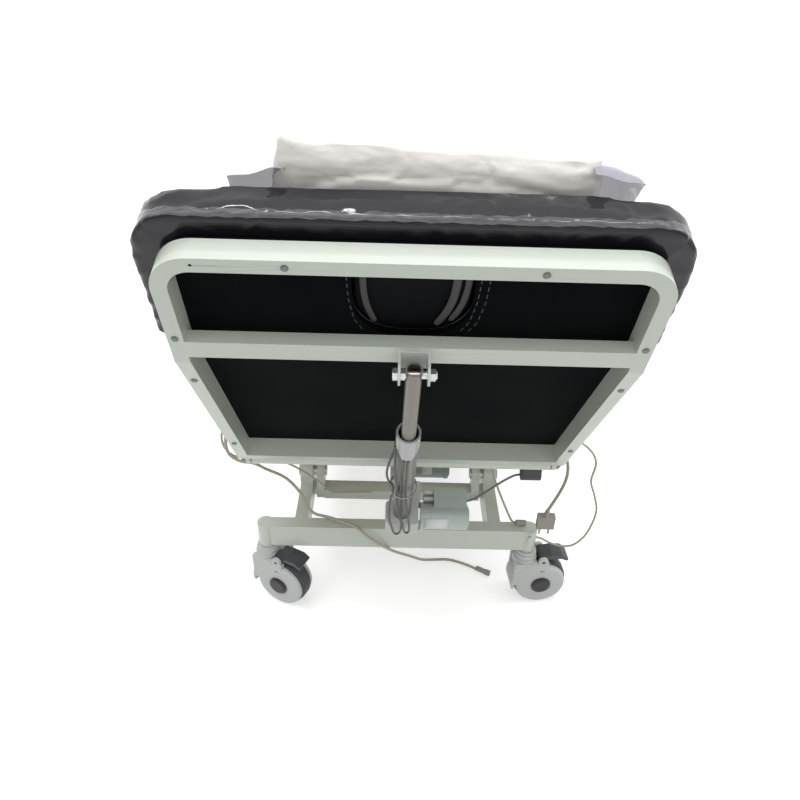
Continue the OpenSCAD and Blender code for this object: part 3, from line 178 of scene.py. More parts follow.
def make_materials():
    """Every material, by the short name that the rest of this script uses."""
    long_x = (0.04, 1, 1)
    return {
        "paint": surface("cream_paint", (0.61, 0.655, 0.585), 0.34, vary=0.035, patch=3.0, grain=420,
                         relief=0.00012, coat=0.25),
        "bracket": surface("bracket_paint", (0.66, 0.68, 0.64), 0.4, vary=0.05, grain=420, relief=0.0001),
        "zinc": surface("zinc", (0.60, 0.61, 0.60), 0.36, metallic=1, vary=0.1, patch=60, grain=900,
                        relief=0.00005),
        # Darker, brownish steel of the rods and tubes, its fine grain drawn out along Y and Z
        "steel": surface("dark_streaked_steel", (0.20, 0.19, 0.165), 0.38, metallic=0.7, vary=0.14, patch=14,
                         grain=260, relief=0.00004, stretch=(1, 0.05, 0.05)),
        "ground": surface("ground_steel", (0.62, 0.62, 0.60), 0.22, metallic=1, vary=0.06, patch=20,
                          grain=900, relief=0.00003),
        "dark_steel": surface("dark_steel", (0.16, 0.165, 0.17), 0.42, metallic=0.9, vary=0.15, patch=40),
        "board": surface("plywood", (0.60, 0.45, 0.28), 0.62, vary=0.2, patch=5, grain=90, relief=0.0003,
                         stretch=long_x),
        "cloth": woven("black_cloth", (0.0028, 0.0042, 0.0045), 0.9, 330, 0.00025),
        "vinyl": surface("charcoal_vinyl", (0.011, 0.010, 0.014), 0.40, vary=0.1, patch=9, grain=520,
                         relief=0.0002, coat=0.65, specular=0.1, crinkle=0.0012),
        "plug": surface("plug_vinyl", (0.004, 0.005, 0.006), 0.7, vary=0.1, grain=520, relief=0.0002,
                        specular=0.08),
        "pillow": surface("cream_vinyl", (0.86, 0.82, 0.78), 0.42, vary=0.06, patch=16, grain=260,
                          relief=0.0003, coat=0.5, crinkle=0.0018, fold=20.0),
        "film": surface("clear_film", (0.40, 0.37, 0.47), 0.14, vary=0.25, patch=18, grain=60,
                        relief=0.0015, coat=1.0, crinkle=0.005, alpha=0.82),
        "film_thin": surface("thin_film", (0.10, 0.105, 0.11), 0.10, vary=0.3, patch=30, grain=90,
                             relief=0.002, coat=1.0, crinkle=0.003, fold=34.0, alpha=0.45),
        "collar": surface("collar_plastic", (0.42, 0.44, 0.44), 0.3, vary=0.08, patch=20, grain=300,
                          coat=0.4),
        "gearbox": surface("gearbox_plastic", (0.60, 0.62, 0.59), 0.48, vary=0.06, patch=10, grain=1100,
                           relief=0.0001),
        "motor": surface("motor_paint", (0.50, 0.57, 0.53), 0.36, vary=0.08, patch=18, grain=600, coat=0.3),
        "lift_motor": surface("lift_motor_paint", (0.36, 0.43, 0.41), 0.36, vary=0.08, patch=18, grain=600,
                              coat=0.3),
        "white": surface("white_plastic", (0.74, 0.75, 0.74), 0.42, vary=0.04, patch=30, grain=1200,
                         relief=0.00006),
        "label": surface("bare_label", (0.76, 0.78, 0.78), 0.3, vary=0.04, patch=60, grain=200,
                         relief=0.00005),
        "box": surface("box_plastic", (0.035, 0.036, 0.038), 0.55, vary=0.1, patch=12, grain=1400,
                       relief=0.00012),
        "shell": surface("castor_plastic", (0.58, 0.60, 0.58), 0.42, vary=0.06, patch=14, grain=1100,
                         relief=0.00008),
        "cap": surface("cap_plastic", (0.007, 0.007, 0.008), 0.4, vary=0.15, patch=30, grain=900),
        "rim": surface("rim_plastic", (0.42, 0.43, 0.42), 0.5, vary=0.08, patch=30, grain=900),
        "tyre": surface("tyre_rubber", (0.052, 0.056, 0.062), 0.62, vary=0.2, patch=26, grain=500,
                        relief=0.0003),
        "pedal": surface("pedal_plastic", (0.060, 0.065, 0.072), 0.45, vary=0.12, patch=30, grain=900),
        "mains": surface("mains_sheath", (0.36, 0.325, 0.255), 0.5, vary=0.1, patch=30, grain=900),
        "beige": surface("beige_sheath", (0.50, 0.45, 0.35), 0.5, vary=0.1, patch=30, grain=900),
        "earth": surface("thin_sheath", (0.42, 0.38, 0.30), 0.5, vary=0.12, patch=30, grain=900),
        "grey_lead": surface("grey_sheath", (0.070, 0.074, 0.075), 0.45, vary=0.2, patch=30, grain=900),
        "dark_lead": surface("dark_sheath", (0.20, 0.20, 0.17), 0.5, vary=0.15, patch=30, grain=900),
        "moulded": surface("moulded_plug", (0.33, 0.315, 0.275), 0.5, vary=0.08, patch=40, grain=900),
        "strap": surface("strap_web", (0.07, 0.07, 0.07), 0.7, vary=0.25, patch=60, grain=1500,
                         relief=0.0003),
        "thread": surface("thread", (0.10, 0.105, 0.105), 0.7, vary=0.2, patch=60),
    }


CASTORS = ("fl", "fr", "rl", "rr")

# The CAD nodes that each material goes on
NODE_LOOKS = {
    "paint": ["base_frame", "front_arms", "rear_arms", "seat_frame", "backrest_frame"],
    "bracket": ["rod_bracket"],
    "zinc": ["castor_stems", "lower_pivot_pins", "upper_pivot_pins", "bracket_bolt", "back_drive_pin",
             "lift_pins"],
    "steel": ["back_rod", "back_tube", "lift_tube"],
    "ground": ["lift_rod"],
    "dark_steel": ["hinge_bolts", "frame_screws"],
    "board": ["seat_board"],
    "cloth": ["dust_cover", "back_board"],
    "collar": ["tube_collar"],
    "gearbox": ["back_gearbox", "lift_gearbox"],
    "motor": ["back_motor"],
    "lift_motor": ["lift_motor"],
    "white": ["motor_clips"],
    "box": ["control_box"],
    "moulded": ["mains_plug", "lead_connector"],
    "shell": [f"castor_{c}_housing" for c in CASTORS],
    "cap": [f"castor_{c}_axle" for c in CASTORS],
    "rim": [f"castor_{c}_rim" for c in CASTORS],
    "tyre": [f"castor_{c}_tyre" for c in CASTORS],
    "pedal": [f"castor_{c}_pedal" for c in CASTORS],
}

WELD_GAP = 0.00001
SHARP_FROM = math.radians(50)

# Nodes whose edges are rounded a little, and by how much
ROUNDED = {
    "base_frame": 0.0022, "seat_frame": 0.0022, "backrest_frame": 0.0022,
    "front_arms": 0.002, "rear_arms": 0.002,
    "back_gearbox": 0.0025, "back_motor": 0.0015, "lift_gearbox": 0.002,
    "control_box": 0.003, "mains_plug": 0.0015,
    "rod_bracket": 0.0007, "motor_clips": 0.001,
}


def dress_nodes(looks):
    """Gives every CAD node its material, and the frames and housings softly rounded edges."""
    for look, names in NODE_LOOKS.items():
        for name in names:
            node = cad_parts[name]
            node.data.materials.clear()
            node.data.materials.append(looks[look])
    for name, width in ROUNDED.items():
        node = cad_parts[name]
        weld = node.modifiers.new("weld", "WELD")
        weld.merge_threshold = WELD_GAP
        bevel = node.modifiers.new("edges", "BEVEL")
        bevel.width = width
        bevel.segments = 3
        bevel.limit_method = "ANGLE"
        bevel.angle_limit = SHARP_FROM
        bevel.use_clamp_overlap = True


# Meshes

def piece_from(name, points, faces, material, body, smooth=True):
    """A new mesh object, in place, that rides on a body."""
    mesh = bpy.data.meshes.new(name)
    mesh.from_pydata([tuple(p) for p in points], [], faces)
    mesh.update()
    piece = bpy.data.objects.new(name, mesh)
    bpy.context.scene.collection.objects.link(piece)
    piece.data.materials.append(material)
    if smooth:
        mesh.shade_smooth()
    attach(piece, body)
    return piece


def skin(rings, closed=True, capped=True):
    """Points and faces over a list of rings with the same number of points."""
    m = len(rings[0])
    points = [p for ring in rings for p in ring]
    around = m if closed else m - 1
    faces = [(i * m + j, (i + 1) * m + j, (i + 1) * m + (j + 1) % m, i * m + (j + 1) % m)
             for i in range(len(rings) - 1) for j in range(around)]
    if closed and capped:
        faces.append(tuple(range(m)))
        faces.append(tuple(reversed(range((len(rings) - 1) * m, len(rings) * m))))
    return points, faces


def applied(piece):
    """Turns the piece's modifiers into its mesh."""
    graph = bpy.context.evaluated_depsgraph_get()
    mesh = bpy.data.meshes.new_from_object(piece.evaluated_get(graph))
    old = piece.data
    piece.modifiers.clear()
    piece.data = mesh
    bpy.data.meshes.remove(old)


def coordinates(mesh):
    """The mesh's points as rows of an array."""
    flat = np.empty(len(mesh.vertices) * 3)
    mesh.vertices.foreach_get("co", flat)
    return flat.reshape(-1, 3)


def remesh(piece, voxel):
    """Gives the piece an even mesh of cells of the voxel's size."""
    step = piece.modifiers.new("remesh", "REMESH")
    step.mode = "VOXEL"
    step.voxel_size = voxel
    applied(piece)


SWELL_FRAMES = 20


def swell(piece, pressure, cap, pinned, spare=0.0):
    """Blows the cover up by cloth simulation.

    A point moves at most cap, the pinned ones stay, and spare is the share by which the cover is too large.
    """
    group = piece.vertex_groups.new(name="pin")
    group.add([int(i) for i in pinned], 1.0, "REPLACE")
    start = coordinates(piece.data)
    cloth = piece.modifiers.new("cloth", "CLOTH")
    settings = cloth.settings
    settings.quality = 4
    settings.mass = 0.25
    settings.tension_stiffness = 12
    settings.compression_stiffness = 8
    settings.bending_stiffness = 0.08
    settings.use_pressure = True
    settings.uniform_pressure_force = pressure
    settings.shrink_min = -spare
    settings.vertex_group_mass = "pin"
    settings.effector_weights.gravity = 0
    cloth.point_cache.frame_start = 1
    cloth.point_cache.frame_end = SWELL_FRAMES
    scene = bpy.context.scene
    for step in range(1, SWELL_FRAMES + 1):
        scene.frame_set(step)
    graph = bpy.context.evaluated_depsgraph_get()
    moved = coordinates(piece.evaluated_get(graph).data)
    piece.modifiers.clear()
    shift = moved - start
    size = np.linalg.norm(shift, axis=1)
    shift *= np.minimum(1, cap / np.maximum(size, 1e-9))[:, None]
    piece.data.vertices.foreach_set("co", (start + shift).ravel())
    piece.data.update()
    scene.frame_set(1)


def subdivide(piece):
    """Halves the mesh's cells and smooths it."""
    step = piece.modifiers.new("subdivide", "SUBSURF")
    step.levels = step.render_levels = 1
    applied(piece)
    piece.data.shade_smooth()


def ruffle(piece, amount):
    """Moves each point along its normal by amount(point), in metres."""
    normals = [v.normal.copy() for v in piece.data.vertices]
    for vertex, normal in zip(piece.data.vertices, normals):
        vertex.co += normal * amount(vertex.co)
    piece.data.update()


# Upholstery

def pad_profile(w, z0, z1, crown):
    """Outline of a pad across its width: crowned top, rounded shoulders, sides drawn in below."""
    r = min(SHOULDER_R, (z1 - z0) * 0.6)
    foot = w - 0.005
    side = [(foot, z0), (w - 0.0022, z0 + 0.2 * (z1 - z0 - r)), (w - 0.0012, z0 + 0.5 * (z1 - z0 - r))]
    side += [(w - r + r * math.cos(math.radians(a)), z1 - r + r * math.sin(math.radians(a)))
             for a in (0, 15, 30, 45, 60, 75)]
    side += [(u * (w - r), z1 + crown * (1 - u * u)) for u in (1, 0.9, 0.75, 0.6, 0.45, 0.3, 0.15)]
    under = [(-x * foot, z0) for x in (0.75, 0.5, 0.25, 0, -0.25, -0.5, -0.75)]
    return side + [(0, z1 + crown)] + [(-x, z) for x, z in reversed(side)] + under


def end_width(w, d):
    """Half width of a pad at distance d from an end with rounded corners."""
    r = PAD_CORNER
    return w if d >= r else w - r + math.sqrt(max(r * r - (r - d) ** 2, 0))


def end_drop(d):
    """Share of the full height at distance d from a rounded end."""
    return 1 - END_DIP * (1 - min(d / PAD_CORNER, 1)) ** 4


# Distances of the rings from a rounded end
ENDS = [0, 0.0015, 0.004, 0.009, 0.016, 0.026, 0.040, 0.053, PAD_CORNER]


def back_rings():
    """Rings of the back cushion from its bevelled lower end to its rounded head end, in place."""
    slant = math.tan(BACK_ANGLE / 2)
    cut = BEVEL_GAP / math.cos(BACK_ANGLE / 2)
    profile = pad_profile(PAD_HALF, FOAM_Z, PAD_TOP - PAD_CROWN, PAD_CROWN)
    rings = []
    for y in [0.485, 0.40, 0.34, 0.28, 0.22, 0.16, 0.10, 0.05]:
        rings.append([LOWER @ Vector((x, min(y, BACK_RUN - (z - HINGE_IN) * slant - cut), z))
                      for x, z in profile])
    rings.append([LOWER @ Vector((x, z * math.tan(HEAD_KINK / 2), z)) for x, z in profile])
    for v in [0.04, 0.08, 0.11]:
        rings.append([HEAD @ Vector((x, -v, z)) for x, z in profile])
    for d in reversed(ENDS):
        t = end_drop(d)
        top = FOAM_Z + (PAD_TOP - PAD_CROWN - FOAM_Z) * t
        ring = pad_profile(end_width(PAD_HALF, d), FOAM_Z, top, PAD_CROWN * t)
        rings.append([HEAD @ Vector((x, d - HEAD_END, z)) for x, z in ring])
    return rings


def seat_rings():
    """Rings of the seat cushion from its rounded foot end to its bevelled end at the hinge, in place."""
    slant = math.tan(BACK_ANGLE / 2)
    low = SEAT_FOAM_Z
    rings = []
    for d in ENDS:
        t = end_drop(d)
        top = low + (PAD_TOP - PAD_CROWN - low) * t
        ring = pad_profile(end_width(PAD_HALF, d), low, top, PAD_CROWN * t)
        rings.append([SEAT @ Vector((x, SEAT_LEN - d, z)) for x, z in ring])
    profile = pad_profile(PAD_HALF, low, PAD_TOP - PAD_CROWN, PAD_CROWN)
    cut = BEVEL_GAP / math.cos(BACK_ANGLE / 2)
    steps = 14
    for i in range(1, steps + 1):
        y = SEAT_LEN - PAD_CORNER - i / steps * (SEAT_LEN - PAD_CORNER)
        rings.append([SEAT @ Vector((x, max(y, (z - HINGE_IN) * slant + cut), z)) for x, z in profile])
    return rings


def folds(p, scale, stretch=(1, 1, 1)):
    """Sharp-ridged folds, from 0 to 1, on lines that wander."""
    sharpness, wander, wander_scale = 2.4, 0.35, 1.7
    q = Vector((p.x * stretch[0], p.y * stretch[1], p.z * stretch[2])) * scale
    return max(0.0, 1 - sharpness * abs(noise.noise(q + wander * noise.noise_vector(q * wander_scale))))


def cushion(name, rings, home, body, node, looks, low, voxel):
    """A stuffed pad: the CAD pad's form drawn in a little, blown up again, and puckered at its rim."""
    inward = home.inverted()
    piece = piece_from(name, *skin(rings), looks["vinyl"], body)
    remesh(piece, voxel)
    inset, pinned_height = 0.0022, 0.004
    ruffle(piece, lambda p: -inset)
    points = coordinates(piece.data)
    base = [i for i, p in enumerate(points) if (inward @ Vector(p)).z < low + pinned_height]
    swell(piece, pressure=4, cap=0.0032, pinned=base)
    subdivide(piece)
    side_from, fade = 0.25, 0.03
    wide_depth, pucker_depth = 0.0006, 0.0016

    def rim(p):
        """Puckers along the sides of the pad, fading towards its crown."""
        q = inward @ p
        near = 0
        if abs(q.x) > side_from or q.z < PAD_TOP - 0.01:
            near = max(0.0, min(1.0, (PAD_TOP - 0.004 - q.z) / fade))
        wide = wide_depth * noise.noise(p * 14)
        return wide + pucker_depth * near * (folds(p, 26) - 0.5)

    ruffle(piece, rim)
    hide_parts(node)
    return piece


# The face opening in the head section: its half width, its ends and its corners
FACE_HALF = 0.075
FACE_LOW = -0.024
FACE_TOP = -0.158
FACE_BIG_R = 0.058
FACE_SMALL_R = 0.020


def face_outline(grow):
    """The face opening's outline in the head section, wide-cornered below and tight-cornered above."""
    w, low, top = FACE_HALF + grow, FACE_LOW + grow, FACE_TOP - grow
    big, small = FACE_BIG_R + grow, FACE_SMALL_R
    steps = 10
    points = []
    for cx, cy, r, a0 in ((w - big, low - big, big, 0), (big - w, low - big, big, 90),
                          (small - w, top + small, small, 180), (w - small, top + small, small, 270)):
        for k in range(steps + 1):
            a = math.radians(a0 + 90 * k / steps)
            points.append((cx + r * math.cos(a), cy + r * math.sin(a)))
    return points


def cut_face_hole(piece):
    """Cuts the face opening through the back cushion."""
    outline = face_outline(0)
    under, over = 0.030, 0.14
    rings = [[HEAD @ Vector((x, y, z)) for x, y in outline] for z in (under, over)]
    cutter = piece_from("face_cutter", *skin(rings), piece.data.materials[0], "backrest", smooth=False)
    mesh = bmesh.new()
    mesh.from_mesh(cutter.data)
    bmesh.ops.recalc_face_normals(mesh, faces=mesh.faces)
    mesh.to_mesh(cutter.data)
    mesh.free()
    cut = piece.modifiers.new("face", "BOOLEAN")
    cut.operation = "DIFFERENCE"
    cut.object = cutter
    cut.solver = "EXACT"
    applied(piece)
    bpy.data.objects.remove(cutter)


# Heights of the plug's rings, and how far each is drawn in from its side
PLUG_RINGS = [
    (FOAM_Z + 0.004, 0.030), (FOAM_Z + 0.0015, 0.016), (FOAM_Z + 0.0006, 0.008), (FOAM_Z + 0.0012, 0.003),
    (FOAM_Z + 0.005, 0.0008), (0.076, 0.0008), (PAD_TOP - 0.008, 0.0008), (PAD_TOP - 0.004, 0.003),
    (PAD_TOP - 0.0025, 0.010), (PAD_TOP - 0.0023, 0.030),
]
PLUG_GAP = 0.0006


def make_face_plug(looks):
    """The stuffed plug in the face opening, with rounded rims and a slightly hollow underside."""
    rings = [[HEAD @ Vector((x, y, z)) for x, y in face_outline(-PLUG_GAP - inset)]
             for z, inset in PLUG_RINGS]
    plug = piece_from("face_plug_soft", *skin(rings), looks["plug"], "backrest")
    subdivide(plug)
    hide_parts("face_plug")


# Pillow and films

PILLOW_W, PILLOW_LEN, PILLOW_T = 0.415, 0.262, 0.076
PILLOW = (HEAD @ Matrix.Translation((0.015, 0.028, PAD_TOP - 0.0004))
          @ Matrix.Rotation(math.radians(3), 4, "Z"))

# Height of the pillow's seam, as a share of its thickness
SEAM = 0.32


def pillow_point(t, a):
    """Point of the pillow's cover at share t of its length and angle a round it, narrower at its top."""
    swell_here = max(1 - abs(2 * t - 1) ** 3.2, 0) ** 0.5
    w = PILLOW_W / 2 * (0.93 + 0.07 * swell_here) * (1 - 0.04 * max(0, 2 * t - 1) ** 1.5)
    c, s = math.cos(a), math.sin(a)
    x = math.copysign(abs(c) ** 0.45, c)
    if s >= 0:
        z = PILLOW_T * (SEAM + 0.68 * abs(s) ** 0.8 * swell_here * (0.55 + 0.45 * (1 - x * x)))
    else:
        z = PILLOW_T * (SEAM - SEAM * abs(s) ** 0.8 * swell_here)
    return Vector((x * w, -t * PILLOW_LEN, z))


def make_pillow(looks):
    """Wrinkled, softly stuffed pillow in the place of the CAD one."""
    along, around = 26, 72
    rings = [[PILLOW @ pillow_point(0.012 + 0.976 * i / along, 2 * math.pi * j / around)
              for j in range(around)] for i in range(along + 1)]
    piece = piece_from("pillow_soft", *skin(rings), looks["pillow"], "backrest")
    remesh(piece, 0.006)
    inward = PILLOW.inverted()
    inset, lying = 0.0035, 0.004
    ruffle(piece, lambda p: -inset if (inward @ p).z > lying else 0)
    base = [i for i, p in enumerate(coordinates(piece.data)) if (inward @ Vector(p)).z < lying]
    swell(piece, pressure=1.2, cap=0.003, pinned=base, spare=0.012)
    subdivide(piece)
    long_depth, short_depth = 0.0011, 0.0008

    def creases(p):
        """Fine creases along the pillow, over a few long shallow ones."""
        q = inward @ p
        if q.z < lying:
            return 0
        long = folds(q, 18, (0.22, 1.6, 1.4))
        short = folds(q, 62, (0.22, 1.2, 1.2))
        return long_depth * (long - 0.45) + short_depth * (short - 0.4) - 0.0003

    ruffle(piece, creases)
    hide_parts("pillow")


def film_lobe(name, side, reach, height, y0, y1, looks):
    """Loose end of the pillow's clear bag: a crumpled tube of film, flatter at its welded edge."""
    rings = []
    inside, crumple = 0.018, 0.006
    for i in range(19):
        u = i / 18
        x = side * (PILLOW_W / 2 * 0.86 + (reach + inside) * u)
        tall = height * (1 - 0.30 * u ** 2) * math.sqrt(max(1 - 0.86 * u ** 6, 0.01))
        ring = []
        for j in range(25):
            a = math.pi * j / 24
            y = (y0 + y1) / 2 + (y0 - y1) / 2 * math.cos(a) * (1 - 0.15 * u)
            z = 0.003 + tall * math.sin(a) ** 0.7
            p = Vector((x, y, z))
            n = noise.noise_vector(p * 34 + Vector((side, 0, 0)))
            p += crumple * Vector((n.x, n.y, max(n.z, -0.4) * math.sin(a)))
            ring.append(PILLOW @ p)
        rings.append(ring)
    piece = piece_from(name, *skin(rings, closed=False), looks["film"], "backrest")
    subdivide(piece)


def film_band(name, x0, x1, z0, z1, looks):
    """Crinkled edge of the clear film round the head end of the back cushion."""
    rings = []
    step, off, depth, flare = 0.006, 0.0030, 0.0022, 0.002
    count = int((x1 - x0) / step)
    for i in range(count + 1):
        x = x0 + (x1 - x0) * i / count
        out = max(0.0, abs(x) - (PAD_HALF - PAD_CORNER))
        v = HEAD_END - PAD_CORNER + math.sqrt(max(PAD_CORNER ** 2 - out ** 2, 0)) if out else HEAD_END
        ring = []
        ragged = 0.004 * noise.noise(Vector((x * 70, 7, 0)))
        for j in range(9):
            z = z0 + (z1 - z0 + ragged) * j / 8
            n = noise.noise(Vector((x * 90, z * 40, 0))) + 0.7 * noise.noise(Vector((x * 240, z * 90, 3)))
            ring.append(HEAD @ Vector((x, -v - off - depth * n - flare * (1 - j / 8), z)))
        rings.append(ring)
    piece = piece_from(name, *skin(rings, closed=False), looks["film_thin"], "backrest")


# Leads

def blend3(a, b, c, d, t):
    """Point at share t of the smooth curve from b to c, with its neighbours a and d."""
    square = (2 * a - 5 * b + 4 * c - d) * t * t
    return 0.5 * (2 * b + (c - a) * t + square + (3 * b - a - 3 * c + d) * t ** 3)


def smooth_line(points, k):
    """The smooth line through the points, with k steps between two of them, in metres."""
    p = [Vector(q) / 1000 for q in points]
    line = [blend3(p[max(i - 1, 0)], p[i], p[i + 1], p[min(i + 2, len(p) - 1)], j / k)
            for i in range(len(p) - 1) for j in range(k)]
    return line + [p[-1]]


# Routes of the leads in millimetres; the two loops' are in the back drive's own frame
MAINS = [(60, 552, 431), (66, 600, 432), (98, 652, 437), (160, 680, 445), (224, 668, 452), (258, 628, 454),
         (266, 540, 454), (266, 420, 450), (266, 300, 454), (266, 180, 450), (266, 60, 454),
         (266, -60, 450), (266, -180, 454), (268, -290, 454), (284, -362, 453), (314, -394, 446),
         (332, -399, 422), (337, -400, 385), (330, -400, 345), (312, -399, 290)]
CONTROL = [(-278.3, -395, 470), (-310, -392, 478), (-338, -390, 470), (-346, -390, 445), (-342, -390, 415),
           (-322, -388, 396), (-296, -384, 388), (-276, -372, 364), (-240, -350, 322), (-212, -338, 268),
           (-190, -345, 222), (-150, -358, 219), (-110, -376, 219), (-86, -388, 217), (-66, -396, 202),
           (-38, -396, 178), (-8, -380, 142), (30, -338, 84), (62, -296, 28), (92, -274, 5), (130, -272, 4),
           (166, -284, 4), (196, -300, 4)]
LIFT_LEAD = [(-278.3, -385, 476), (-312, -381, 486), (-344, -378, 478), (-356, -377, 450),
             (-352, -377, 418), (-332, -374, 396), (-300, -364, 386), (-262, -340, 364), (-222, -310, 318),
             (-178, -285, 258), (-150, -268, 214), (-110, -262, 209), (-60, -260, 209)]
EARTH = [(278.3, -380, 470), (302, -388, 478), (336, -394, 474), (362, -397, 462), (382, -398, 440),
         (391, -398, 414), (389, -397, 372), (403, -397, 334), (415, -397, 292), (412, -396, 248),
         (402, -394, 210), (384, -388, 180), (362, -380, 169), (338, -374, 172), (318, -371, 182),
         (307.2, -370, 184)]
POST = [(188, -358, 460.9), (188.5, -357, 430), (190, -350, 388), (197, -342, 345), (215, -340, 294),
        (232, -343, 254), (244, -350, 229), (250, -359, 221.5), (256.6, -363.4, 221)]
JUNCTION = [(131.3, -448, 356), (146, -446, 360), (168, -442, 374), (196, -437, 396), (222, -432, 411),
            (234.3, -431, 413)]
LOOPS = [
    [(-19, 2, 419.7), (-20, 0, 400), (-26, -8, 374), (-31, -13, 336), (-28, -12, 294), (-18.8, -8, 250),
     (-24, -18, 205), (-25, -28, 150), (-18.5, -31.5, 90), (-15, -32, 66), (-9.5, -32, 56), (-4, -32, 66),
     (-1, -31, 100), (-4, -27, 170), (-5.5, -18.6, 250), (-8, -20, 320), (-6, -19.2, 365),
     (-5, -18.6, 395.7)],
    [(-18.8, -4, 419.7), (-18.5, -11, 395), (-18, -19, 360), (-16, -24, 320), (-14, -21, 285),
     (-12.5, -15.2, 250), (-11, -24, 210), (-6, -33, 165), (1, -37, 130), (4, -37, 96), (9, -37, 80),
     (14, -36.5, 92), (12, -34, 140), (6, -28, 200), (2.2, -19.4, 250), (2, -21, 300), (1.8, -19.8, 345),
     (1.8, -18.8, 395.7)],
]


def lead(name, points, k, diameter, length, far_end, body, node, material, home=None, **facts):
    """A free lead along its route: one open line with round section. The length argument is not used."""
    line = smooth_line(points, k)
    if home:
        line = [home @ p for p in line]
    data = bpy.data.curves.new(name, "CURVE")
    data.dimensions = "3D"
    data.bevel_depth = diameter / 2
    data.bevel_resolution = 3
    data.use_fill_caps = True
    spline = data.splines.new("POLY")
    spline.points.add(len(line) - 1)
    for point, place in zip(spline.points, line):
        point.co = (*place, 1)
    spline.use_smooth = True
    data.materials.append(material)
    piece = bpy.data.objects.new(name, data)
    bpy.context.scene.collection.objects.link(piece)
    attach(piece, body)
    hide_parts(node)


def make_leads(looks):
    """Every lead, in the place of its CAD node and on the same body."""
    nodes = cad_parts
    lead("mains_line", MAINS, 4, 0.0065, 1.506, "plug", "seat", "mains_lead", looks["mains"], lay="hanging",
         with_pieces=[nodes["mains_plug"]])
    lead("control_line", CONTROL, 3, 0.0065, 0.923, "connector", "base", "control_lead", looks["beige"],
         lay="hanging", with_pieces=[nodes["lead_connector"]])
    lead("lift_line", LIFT_LEAD, 4, 0.0045, 0.542, "object", "base", "lift_lead", looks["beige"],
         lay="hanging", stiffness="limp")
    lead("earth_line", EARTH, 4, 0.0045, 0.479, "object", "seat", "earth_lead", looks["earth"],
         lay="hanging", stiffness="limp")
    lead("post_line", POST, 4, 0.0045, 0.266, "object", "seat", "earth_lead", looks["earth"], lay="hanging",
         stiffness="limp")
    lead("junction_line", JUNCTION, 3, 0.0045, 0.121, "object", "seat", "junction_lead", looks["dark_lead"],
         lay="hanging", stiffness="limp")
    for i, (route, length) in enumerate(zip(LOOPS, (0.715, 0.666))):
        lead(f"drive_loop_{i + 1}", route, 3, 0.004, length, "object", "back_drive", "drive_leads",
             looks["grey_lead"], home=DRIVE, lay="hanging", stiffness="limp")


# Small trim

def curved_patch(name, home, x0, x1, radius, a0, a1, material, body):
    """Label on a round can that lies across, between two X values and two angles from the head side up."""
    rings = []
    for x in (x0, x1):
        ring = []
        for k in range(13):
            a = math.radians(a0 + (a1 - a0) * k / 12)
            ring.append(home @ Vector((x, -radius * math.cos(a), radius * math.sin(a))))
        rings.append(ring)
    piece = piece_from(name, *skin(rings, closed=False), material, body)
    thick = piece.modifiers.new("thick", "SOLIDIFY")
    thick.thickness = 0.0003


def tapered_sleeve(name, at, towards, r0, r1, length, material, body):
    """Ribbed strain relief, wide where it leaves its housing."""
    axis = Vector(towards).normalized()
    side = axis.orthogonal().normalized()
    up = axis.cross(side)
    rings = []
    for i in range(15):
        u = i / 14
        r = r0 + (r1 - r0) * u
        if i % 2 and 2 < i < 13:
            r *= 0.86
        rings.append([Vector(at) + axis * length * u + r * (math.cos(a) * side + math.sin(a) * up)
                      for a in [2 * math.pi * k / 20 for k in range(20)]])
    piece = piece_from(name, *skin(rings), material, body)


def stitch_line(name, points, material, home, body, dash=0.007, gap=0.005, width=0.0011, lift=0.0006):
    """A dashed row of thread along a line on the rear face of the dust cover."""
    places, faces = [], []
    run = []
    for a, b in zip(points, points[1:]):
        a, b = Vector(a), Vector(b)
        steps = max(1, int((b - a).length / 0.001))
        run += [(a.lerp(b, k / steps), (b - a).normalized()) for k in range(steps)]
    period = dash + gap
    for start in range(0, len(run) - int(dash * 1000), int(period * 1000)):
        p, d = run[start]
        q = run[start + int(dash * 1000)][0]
        side = Vector((-d.y, d.x)) * width / 2
        base = len(places)
        for corner, z in ((p - side, 0), (p + side, 0), (q + side, 0), (q - side, 0),
                          (p.lerp(q, 0.2), -lift), (p.lerp(q, 0.8), -lift)):
            places.append(home @ Vector((corner.x, corner.y, RAIL_D - 0.0002 + z)))
        faces += [(base, base + 1, base + 4), (base + 1, base + 2, base + 5, base + 4),
                  (base + 2, base + 3, base + 5), (base + 3, base, base + 4, base + 5)]
    piece = piece_from(name, places, faces, material, body)


def strap(name, points, width, material):
    """Flat strap that holds the plug, lying across the opening behind it and rumpled a little."""
    rings = []
    for i, (x, y, z) in enumerate(points):
        p = Vector((x, y, z))
        d = (Vector(points[min(i + 1, len(points) - 1)]) - Vector(points[max(i - 1, 0)])).normalized()
        side = d.cross(Vector((0, 0, 1))).normalized() * width / 2
        rings.append([HEAD @ (p - side), HEAD @ (p - side * 0.3 - Vector((0, 0, 0.0012))),
                      HEAD @ (p + side * 0.3 - Vector((0, 0, 0.0014))), HEAD @ (p + side)])
    piece = piece_from(name, *skin(rings, closed=False), material, "backrest")
    thick = piece.modifiers.new("thick", "SOLIDIFY")
    thick.thickness = 0.0012
    smooth = piece.modifiers.new("smooth", "SUBSURF")
    smooth.levels = smooth.render_levels = 2


